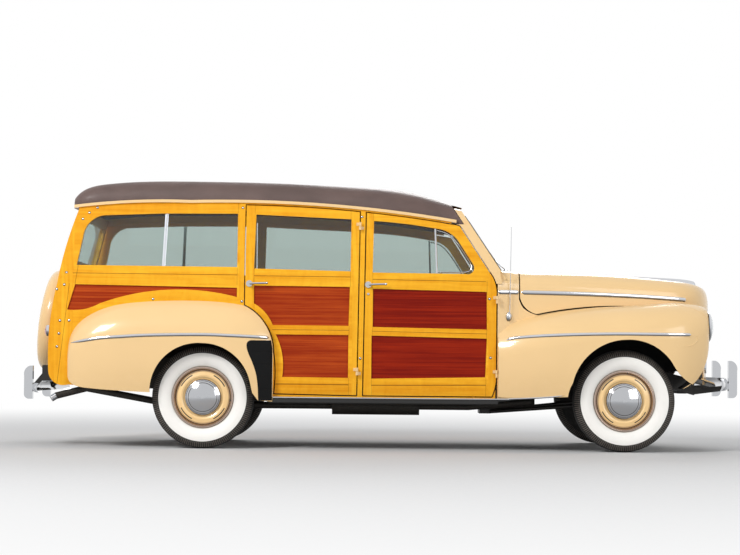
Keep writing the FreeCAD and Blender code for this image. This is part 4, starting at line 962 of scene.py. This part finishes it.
class WAGON_OT_corner_panels(bpy.types.Operator):
    """Close the corners behind the hood's sides, and hang the aprons beside the engine"""

    bl_idname = "wagon.corner_panels"
    bl_label = "Corner panels and aprons"

    def execute(self, context):
        rows = 32
        edge = curve_through([(x, z, 0) for x, z in CORNER_EDGE], rows)
        for side, word in SIDES:
            def corner(u, v):
                top = edge[round(u * rows)]
                back = top.x - 2168
                foot = 893 + back * 0.26
                return at(top.x, side * (739.5 - back * 0.1), foot + (top.y - foot) * v)

            def apron(u, v):
                bulge = 10 * math.sin(v * math.pi)
                return at(2180 + 1200 * u, side * (452 + bulge), 560 + (430 - 20 * u) * v)

            sheet(f"hood_corner_{word}", rows, 6, corner, 0.0015, FINISH["paint"], "paint", turn=True)
            sheet(f"engine_apron_{word}", 24, 8, apron, 0.002, FINISH["underseal"], "black_metal")
        return {"FINISHED"}


# Fender crowns: their length, their gap to the hood, and the parking lamp that they keep off
CROWN_LONG, CROWN_GAP = 575, 9
PARK_X, PARK_Y = 3436, 552
SKIN = 0.0068


class WAGON_OT_fender_crowns(bpy.types.Operator):
    """Skin the front fenders' crowns beside the hood, where the solids' own top is cut low"""

    bl_idname = "wagon.fender_crowns"
    bl_label = "Fender crowns"

    def execute(self, context):
        hood, fender = surface_of("hood"), surface_of("front_fenders")
        for side, word in SIDES:
            def crown(u, v):
                x = CROWN_X + CROWN_LONG * u
                edge = self.hood_edge(hood, x, side) + CROWN_GAP
                edge = max(edge, min(PARK_Y, PARK_Y - (PARK_X - x) * 1.5))
                return self.crown(fender, x, side * (edge + (CROWN_OUTER - edge) * v))

            sheet(f"fender_crown_{word}", 56, 16, crown, 0.0012, FINISH["paint"], "paint", turn=True)
        return {"FINISHED"}

    def hood_edge(self, tree, x, side):
        """How far out the hood's lower edge is at x."""
        for z in range(980, 1060, 3):
            hit = tree.ray_cast(at(x, side * 1200, z), Vector((0, -side, 0)))[0]
            if hit:
                return abs(hit.y) * 1000
        raise RuntimeError(f"no hood at {x}")

    def crown(self, tree, x, y):
        """The fender's natural top: its own, or a skin's thickness above its inner face."""
        start, height = at(x, y, 1400), 0
        for _ in range(4):
            hit, normal = tree.ray_cast(start, Vector((0, 0, -1)))[:2]
            if hit is None or hit.z < 0.9:
                break
            if normal.z < 0:
                height = max(height, hit.z + SKIN / max(0.5, -normal.z))
                break
            height = max(height, hit.z + 0.0004)
            start = hit - Vector((0, 0, 0.0005))
        if not height:
            raise RuntimeError(f"no fender at {x}, {y}")
        return Vector((start.x, start.y, height))


# Front edge of the stone guard on the rear fender: z, x
GUARD_EDGE = [(338, 386), (385, 384), (440, 381), (522, 369), (604, 341), (651, 320), (692, 306),
              (722, 305), (738, 315), (745, 332)]


class WAGON_OT_stone_guards(bpy.types.Operator):
    """Lay the ribbed rubber guards on the front of the rear fenders"""

    bl_idname = "wagon.stone_guards"
    bl_label = "Stone guards"

    def execute(self, context):
        tree = surface_of("rear_fenders")
        rows = 40
        edge = curve_through([(z, x, 0) for z, x in GUARD_EDGE], rows)
        for side, word in SIDES:
            def guard(u, v):
                row = edge[round(u * rows)]
                right = 478 - max(0, row.x - 690) * 0.17
                hit, normal = onto(tree, row.y + (right - row.y) * v, row.x, side)
                return hit + normal * (0.0005 + 0.004 * min(1, 12 * v, 12 * (1 - v)) ** 0.5)

            sheet(f"stone_guard_{word}", rows, 12, guard, 0.003, FINISH["shield"], sharp=45)
        return {"FINISHED"}


# Half of a tyre's section from the bead to the tread's middle groove: radius, distance from its plane
TYRE_HALF = [(203.6, 50), (213, 55.5), (222, 63), (240, 75.5), (262, 82.3), (282, 83.8), (300, 81.6),
             (302.6, 81), (304, 79.3), (315, 76.4), (326, 70.5), (334, 63.5), (339.5, 57), (344.5, 51),
             (347.5, 44), (348.6, 40.5), (343, 39.5), (343, 34.5), (349.4, 33.5), (350.4, 24), (350.8, 18),
             (345, 17), (345, 12.5), (351.2, 11.5), (351.7, 4)]


class WAGON_OT_tyres(bpy.types.Operator):
    """Model the tyres with their ribbed tread and notched shoulders"""

    bl_idname = "wagon.tyres"
    bl_label = "Tyres"

    def execute(self, context):
        rows = [(r, -s) for r, s in TYRE_HALF] + [(r, s) for r, s in reversed(TYRE_HALF)]
        steps = 360
        for end, x in (("front", WHEELBASE), ("rear", 0)):
            for side, word in SIDES:
                centre = at(x, side * HALF_TRACK, TYRE_R)
                bm = bmesh.new()
                turned(bm, rows, centre, (0, side, 0), steps)
                for vert in bm.verts:
                    local = vert.co - centre
                    radius = math.hypot(local.x, local.z)
                    turn = round(math.atan2(local.z, local.x) / (2 * math.pi / steps))
                    if 0.319 < radius and 0.0395 < abs(local.y) < 0.075 and turn % 2 == 0:
                        pull = 1 - 0.0028 / radius
                        vert.co = centre + Vector((local.x * pull, local.y * 0.955, local.z * pull))
                rim = [edge for edge in bm.edges if edge.is_boundary]
                bmesh.ops.bridge_loops(bm, edges=rim)
                bmesh.ops.recalc_face_normals(bm, faces=bm.faces)
                wheel = f"wheel_{end}_{word}"
                obj = add_piece(f"tyre_shell_{end}_{word}", bm, FINISH["tyre"], wheel, "tyre", 30)
                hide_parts(f"tyre_{end}_{word}")
                bm = bmesh.new()
                along, up = (21, 193) if end == "front" else (190, -19)
                stem = at(x + along, side * (HALF_TRACK + 28), TYRE_R + up)
                turned(bm, [(0, 0), (4.5, 0), (4.5, 18), (3.2, 20), (3.2, 24), (4.2, 25), (4.2, 34), (0, 35)],
                       stem, (0, side, 0), 14)
                add_piece(f"valve_stem_{end}_{word}", bm, FINISH["rubber"], wheel)
        return {"FINISHED"}


def bolt_heads(points, radius, side, word, name, body):
    """Domed bolt heads on the wooden wall, each in a flat black ring that paints the shade of its
    countersink.
    """
    heads, rings = bmesh.new(), bmesh.new()
    for x, z in points:
        spot = at(x, side * (wall_y(z) - 0.5), z)
        turned(heads, [(radius, -1), (radius, 1), (radius * 0.8, 3), (radius * 0.45, 4.2), (0, 4.7)],
               spot, (0, side, 0), 14)
        turned(rings, [(radius - 1, -1), (radius + 2.2, -1), (radius + 2.2, 0.8), (radius + 1, 1.1),
                       (radius - 1, 1.1)], spot, (0, side, 0), 18)
    add_piece(f"{name}_{word}", heads, FINISH["chrome"], body, "chrome")
    # The black rings are painted shade round the heads.
    add_piece(f"{name}_rings_{word}", rings, FINISH["rubber"], body)


class WAGON_OT_bolts(bpy.types.Operator):
    """Set the carriage bolt heads and the lock cylinders in the woodwork"""

    bl_idname = "wagon.bolts"
    bl_label = "Bolt heads"

    def execute(self, context):
        radius = context.scene.wagon_trim.bolt
        fixed = [(-746, 1652), (-801, 1616), (-845, 1572), (-948, 1200), (-962, 1117), (-1012, 1085),
                 (-988, 869), (-925, 870), (-994, 780), (-1006, 690), (-349, 1022), (259, 1660), (262, 1012),
                 (1083, 1604), (1079, 628)]
        for side, word in SIDES:
            bolt_heads(fixed, radius, side, word, "body_bolts", "body")
            bolt_heads([(1965, 1045), (1975, 640)], radius, side, word, "front_door_bolts",
                       f"front_door_{word}")
            bm = bmesh.new()
            turned(bm, [(9, -1), (9, 3), (7, 5), (3, 5), (3, 3), (0, 3)],
                   at(1131, side * wall_y(1071), 1071), (0, side, 0), 20)
            add_piece(f"front_door_lock_{word}", bm, FINISH["chrome"], f"front_door_{word}", "chrome")
        return {"FINISHED"}


def bar(bm, start, end, across, wide, deep):
    """Flat bar with rounded edges between two points."""
    along = (end - start).normalized()
    across = across.normalized()
    outward = across.cross(along)
    section = [(-1, -0.6), (-1, 0.6), (-0.7, 1), (0.7, 1), (1, 0.6), (1, -0.6), (0.7, -1), (-0.7, -1)]
    places = [(end_point, across, outward, wide / 2000, deep / 2000) for end_point in (start, end)]
    return sweep(bm, places, section)


class WAGON_OT_window_trim(bpy.types.Operator):
    """Model the sliding pane channels, the vent panes' frames and the windscreen's surround"""

    bl_idname = "wagon.window_trim"
    bl_label = "Window trim"

    def execute(self, context):
        for side, word in SIDES:
            bm = bmesh.new()
            start, end = (at(x, side * (wall_y(z) - 15), z) for x, z in ((-282, 1251), (-266, 1617)))
            bar(bm, start, end, Vector((1, 0, 0)), 22, 8)
            add_piece(f"sliding_pane_channel_{word}", bm, FINISH["satin"], "body")

            bm = bmesh.new()
            start, end = (at(x, side * (wall_y(z) - 14), z) for x, z in ((1602, 1219), (1590, 1527)))
            bar(bm, start, end, Vector((1, 0, 0)), 13, 9)
            points = curve_through([(1610, 1229, 0), (1700, 1227, 0), (1795, 1228, 0), (1834, 1244, 0),
                                    (1836, 1284, 0), (1797, 1350, 0), (1750, 1418, 0), (1693, 1480, 0),
                                    (1645, 1504, 0), (1600, 1516, 0)], 60)
            loop = [at(p.x, side * (wall_y(p.y) - 14), p.y) for p in points]
            sweep(bm, tube_places(loop, 0.004, reference=Vector((0, 1, 0))), circle(8))
            add_piece(f"vent_pane_frame_{word}", bm, FINISH["chrome"], f"front_door_{word}", "chrome")
        self.windscreen()
        return {"FINISHED"}

    def glass_point(self, y, z, out):
        x = SCREEN_FOOT_X + out - (z - SCREEN_FOOT_Z) * SCREEN_LEAN - abs(y) * SCREEN_SWEEP
        return at(x, y, z)

    def windscreen(self):
        for side, word in SIDES:
            corners = [Vector(c) for c in ((30, 1276), (664, 1276), (664, 1618), (30, 1618))]
            points = []
            radius = 22
            for n, corner in enumerate(corners):
                start = corner + (corners[n - 1] - corner).normalized() * radius
                stop = corner + (corners[(n + 1) % 4] - corner).normalized() * radius
                for t in range(7):
                    u = t / 6
                    p = start * (1 - u) ** 2 + corner * 2 * u * (1 - u) + stop * u ** 2
                    points.append(self.glass_point(side * p.x, p.y, -2))
            section = [(-1, -1), (-1, 0.3), (-0.5, 0.9), (0.5, 0.9), (1, 0.3), (1, -1)]
            places = [(p, a, b, 0.009, 0.007)
                      for p, a, b, _, _ in tube_places(points, 1, True, Vector((0.83, 0, 0.56)))]
            bm = sweep(bmesh.new(), places, section)
            add_piece(f"windscreen_rubber_{word}", bm, FINISH["rubber"], "body")
        bm = bmesh.new()
        bar(bm, self.glass_point(0, 1268, 1), self.glass_point(0, 1626, 1), Vector((0, 1, 0)), 30, 12)
        add_piece("windscreen_centre_strip", bm, FINISH["chrome"], "body", "chrome")
        for side, word in SIDES:
            bm = bmesh.new()
            foot = at(2106, side * 300, 1258)
            turned(bm, [(15, -6), (15, 4), (11, 11), (5, 13), (0, 13)], foot, (0.3, 0, 1), 20)
            elbow = self.glass_point(side * 320, 1304, 16)
            tip = self.glass_point(side * 200, 1352, 14)
            arm = curve_through([foot + Vector((0, 0, 0.008)), elbow, tip], 14)
            sweep(bm, tube_places(arm, 0.0032), circle(8))
            bar(bm, self.glass_point(side * 60, 1322, 4), self.glass_point(side * 345, 1384, 4),
                Vector((0.5, 0, 0.8)), 8, 9)
            add_piece(f"wiper_{word}", bm, FINISH["satin"], "body")


# From the wooden wall's face in to the middle of the seal behind it
WALL_DEPTH = 54


class WAGON_OT_seals(bpy.types.Operator):
    """Back the gap between the centre pillar and the front door with a rubber seal"""

    bl_idname = "wagon.seals"
    bl_label = "Door seals"

    def execute(self, context):
        for side, word in SIDES:
            bm = bmesh.new()
            for low, high in ((400, BEND_Z), (BEND_Z, 1600)):
                start, end = (at(1082 + z / 92, side * (wall_y(z) - WALL_DEPTH), z) for z in (low, high))
                bar(bm, start, end, Vector((1, 0, 0)), 40, 8)
            add_piece(f"door_seal_{word}", bm, FINISH["rubber"], "body")
        return {"FINISHED"}


class WAGON_OT_aerial(bpy.types.Operator):
    """Stand the aerial on the right side of the cowl"""

    bl_idname = "wagon.aerial"
    bl_label = "Aerial"

    def execute(self, context):
        radius = context.scene.wagon_trim.mast / 1000
        tree = surface_of("cowl", "front_fenders")
        hit, normal = onto(tree, 2100, 925, -1)
        bm = bmesh.new()
        turned(bm, [(0, -4), (21, -4), (22, 3), (19, 11), (11, 17), (0, 19)], hit, normal, 28)
        for vert in bm.verts:
            vert.co.z = hit.z + (vert.co.z - hit.z) * 1.5
        foot = hit + normal * 0.014
        knee = foot + Vector((0.001, 0, 0.03))
        top = at(2114, 0, 1541)
        top.y = foot.y
        points = [foot - Vector((0, 0, 0.012)), knee, knee.lerp(top, 0.5), top]
        sizes = [2.2, 1.25, 0.9, 0.6]
        places = [(p, a, b, radius * k, radius * k)
                  for (p, a, b, _, _), k in zip(tube_places(points, 1, reference=Vector((0, 1, 0))), sizes)]
        sweep(bm, places, circle(10))
        turned(bm, [(0, -4), (2.2, -2.6), (3, 0), (2.2, 2.6), (0, 4)], top, (0, 0, 1), 12)
        add_piece("aerial", bm, FINISH["chrome"], "body", "chrome")
        return {"FINISHED"}


class WAGON_OT_board_trim(bpy.types.Operator):
    """Edge the running boards with a bright strip that runs on to the front arch"""

    bl_idname = "wagon.board_trim"
    bl_label = "Running board trim"

    def execute(self, context):
        for side, word in SIDES:
            line = curve_through([(484, 852, 356), (1200, 852, 356), (2020, 852, 357), (2110, 862, 361),
                                  (2240, 872, 367), (2380, 886, 377), (2478, 896, 387)], 80)
            points = [at(p.x, side * p.y, p.z) for p in line]
            places = []
            for n, (p, across, up, _, _) in enumerate(tube_places(points, 1)):
                size = min(1, (len(points) - 1 - n) / 8 + 0.15)
                places.append((p, across, up, 0.006, 0.006 * size))
            bm = sweep(bmesh.new(), places, circle(8))
            add_piece(f"board_strip_{word}", bm, FINISH["chrome"], "body", "chrome")
        return {"FINISHED"}


# Benches: front and back of the cushion, half width, cushion's underside and top, top of the back
BENCHES = (
    ("front_seat", 1560, 1090, 690, 650, 800, 1180, (1130, 1500, 430)),
    ("middle_seat", 720, 250, 560, 705, 855, 1200, (490, 660, 430)),
    ("rear_seat", -60, -480, 560, 840, 990, 1280, (-440, -120, 705)),
)


PLEAT_DEPTH, PLEAT_WIDTH = 0.009, 0.011


class WAGON_OT_seats(bpy.types.Operator):
    """Stuff the three benches: cloth swells each pad, and the pleats are sewn in afterwards"""

    bl_idname = "wagon.seats"
    bl_label = "Benches"

    def pad(self, name, x0, x1, half, z0, z1, lean, pleated):
        """A stuffed pad, swollen by cloth, with pleats on the faces that pleated names by their normal."""
        s = bpy.context.scene.wagon_seats
        inset = 14
        low, high = at(x0 + inset, -half + inset, z0 + 4), at(x1 - inset, half - inset, z1 - inset)
        bm = block(low, high, 0.035, 3)
        for vert in bm.verts:
            vert.co.x += lean / 1000 * (vert.co.z - low.z) / (high.z - low.z)
        obj = mesh_object(name, bm)
        bpy.context.view_layer.objects.active = obj
        remesh = obj.modifiers.new("Remesh", "REMESH")
        remesh.mode, remesh.voxel_size = "VOXEL", s.voxel / 1000
        bpy.ops.object.modifier_apply(modifier="Remesh")
        self.swell(obj, s)
        divide = obj.modifiers.new("Subdivision", "SUBSURF")
        divide.levels = divide.render_levels = 1
        bpy.ops.object.modifier_apply(modifier="Subdivision")
        mesh = obj.data
        pitch = s.pleat / 1000
        reach = half / 1000 - 0.09
        normals = [vert.normal.copy() for vert in mesh.vertices]
        for vert, normal in zip(mesh.vertices, normals):
            if normal.dot(pleated) > 0.55 and abs(vert.co.y) < reach + 0.02:
                off = abs((vert.co.y / pitch) - round(vert.co.y / pitch)) * pitch
                edge = min(1, max(0, (reach - abs(vert.co.y)) / 0.02 + 1))
                vert.co -= normal * (PLEAT_DEPTH * math.exp(-(off / PLEAT_WIDTH) ** 2) * edge)
        mesh.materials.append(FINISH["hide"])
        smooth_shaded(mesh)
        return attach(obj, "body")

    def swell(self, obj, s):
        """Lets cloth pressure fill the pad, and holds each point's move to the most allowed."""
        start = [vert.co.copy() for vert in obj.data.vertices]
        cloth = obj.modifiers.new("Cloth", "CLOTH")
        cloth.settings.use_pressure = True
        cloth.settings.uniform_pressure_force = s.pressure
        cloth.settings.effector_weights.gravity = 0
        cloth.settings.quality = 5
        cloth.point_cache.frame_start, cloth.point_cache.frame_end = 1, 20
        for number in range(1, 21):
            bpy.context.scene.frame_set(number)
        bpy.ops.object.modifier_apply(modifier="Cloth")
        most = s.swell / 1000
        for vert, first in zip(obj.data.vertices, start):
            move = vert.co - first
            if move.length > most:
                vert.co = first + move * (most / move.length)

    def execute(self, context):
        for node, front, back, half, low, top, back_top, (base_back, base_front, floor) in BENCHES:
            cushion = self.pad(f"{node}_cushion", back, front, half, low, top, 0, Vector((0, 0, 1)))
            rest = self.pad(f"{node}_backrest", back + 4, back + 116, half, top - 50, back_top, -70,
                            Vector((0.98, 0, 0.17)))
            bm = block(at(base_back, 60 - half, floor + 1), at(base_front, half - 60, low + 4), 0.008, 2)
            base = add_piece(f"{node}_base", bm, FINISH["black"], "body")
            for piece in (cushion, rest, base):
                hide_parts(node)
        bpy.context.scene.frame_set(1)
        return {"FINISHED"}


# Where the camera stands, what the lamps aim at, and the floor's radius, in metres
EYE = (-0.0875, -15.3, 0.6457)
LAMPS_AIM = Vector((0, 0, 0.8))
FLOOR_R = 90


class WAGON_OT_stage(bpy.types.Operator):
    """Set the camera, the floor, the lamps and the world"""

    bl_idname = "wagon.stage"
    bl_label = "Stage"

    def execute(self, context):
        s = context.scene.wagon_stage
        camera = bpy.data.cameras.new("camera")
        camera.lens, camera.sensor_width = s.lens, 36
        camera.clip_start, camera.clip_end = 0.1, 200
        eye = linked("camera", camera)
        turn = (Matrix.Rotation(math.radians(90 + s.pitch), 4, "X")
                @ Matrix.Rotation(math.radians(s.roll), 4, "Z"))
        eye.matrix_world = Matrix.Translation(EYE) @ turn
        context.scene.camera = eye

        bm = bmesh.new()
        bmesh.ops.create_circle(bm, cap_ends=True, segments=96, radius=FLOOR_R)
        floor = mesh_object("floor", bm)
        floor.data.materials.append(self.floor_finish())

        lamps = (("key", (-7, -9, 8), 3.2, s.key), ("fill", (7.5, -8, 4), 5, s.key * 0.28),
                 ("back", (2, 10, 7), 5, s.key * 0.45))
        for name, spot, size, power in lamps:
            lamp = bpy.data.lights.new(name, "AREA")
            lamp.energy, lamp.size = power, size
            spot = Vector(spot)
            linked(name, lamp).matrix_world = Matrix.Translation(spot) @ (LAMPS_AIM - spot).to_track_quat(
                "-Z", "Y").to_matrix().to_4x4()
        self.sky(s.sky)
        context.scene.view_settings.view_transform = "Standard"
        return {"FINISHED"}

    def seen(self, f):
        """1 for what the camera sees, itself, in metal or through glass."""
        rays = f.node("ShaderNodeLightPath", out="Is Camera Ray")
        return rays.run("MAXIMUM", rays.run("MAXIMUM", rays, rays.other("Is Glossy Ray")),
                        rays.other("Is Transmission Ray"))

    def floor_finish(self):
        f = Finish("studio_floor")
        point, x, y, _ = f.place()
        away = (x * x * 0.35 + y * y * 0.25) ** 0.5
        speck = f.noise(point, 30, 3)
        grey = f.mixed(speck, (0.6, 0.6, 0.6), (0.66, 0.66, 0.66))
        matt = f.principled({"Base Color": grey, "Roughness": 0.9})
        light = f.plain("ShaderNodeEmission", (1, 1, 1), Strength=1.0)
        return f.close_between(f.smooth(away, 1.6, 5.5) * self.seen(f), matt, light)

    def sky(self, strength):
        world = bpy.data.worlds.new("studio")
        bpy.context.scene.world = world
        f = Finish(world, "ShaderNodeOutputWorld")
        even = f.plain("ShaderNodeBackground", (0.95, 0.97, 1), Strength=strength)
        white = f.plain("ShaderNodeBackground", (1, 1, 1), Strength=1.0)
        f.close_between(self.seen(f), even, white)


OPERATORS = (WAGON_OT_stage, WAGON_OT_finishes, WAGON_OT_dress_nodes, WAGON_OT_mouldings,
             WAGON_OT_ornament, WAGON_OT_corner_panels, WAGON_OT_fender_crowns, WAGON_OT_stone_guards,
             WAGON_OT_tyres, WAGON_OT_bolts, WAGON_OT_window_trim, WAGON_OT_seals, WAGON_OT_aerial,
             WAGON_OT_board_trim, WAGON_OT_seats)


class WAGON_PT_panel(bpy.types.Panel):
    """Lists the wagon's operators and settings"""

    bl_label = "Station wagon"
    bl_idname = "WAGON_PT_panel"
    bl_space_type = "VIEW_3D"
    bl_region_type = "UI"
    bl_category = "Wagon"

    def draw(self, context):
        for group in SETTINGS:
            values = getattr(context.scene, group)
            for name in type(values).__annotations__:
                self.layout.prop(values, name)
        for operator in OPERATORS:
            self.layout.operator(operator.bl_idname)


SETTINGS = {"wagon_finish": FinishSettings, "wagon_trim": TrimSettings, "wagon_seats": SeatSettings,
            "wagon_stage": StageSettings}
CLASSES = (*SETTINGS.values(), *OPERATORS, WAGON_PT_panel)


def register():
    for cls in CLASSES:
        bpy.utils.register_class(cls)
    for name, cls in SETTINGS.items():
        setattr(bpy.types.Scene, name, bpy.props.PointerProperty(type=cls))


def unregister():
    for name in SETTINGS:
        delattr(bpy.types.Scene, name)
    for cls in reversed(CLASSES):
        bpy.utils.unregister_class(cls)


def main():
    register()
    for operator in OPERATORS:
        group, name = operator.bl_idname.split(".")
        getattr(getattr(bpy.ops, group), name)()


if __name__ == "__main__":
    main()
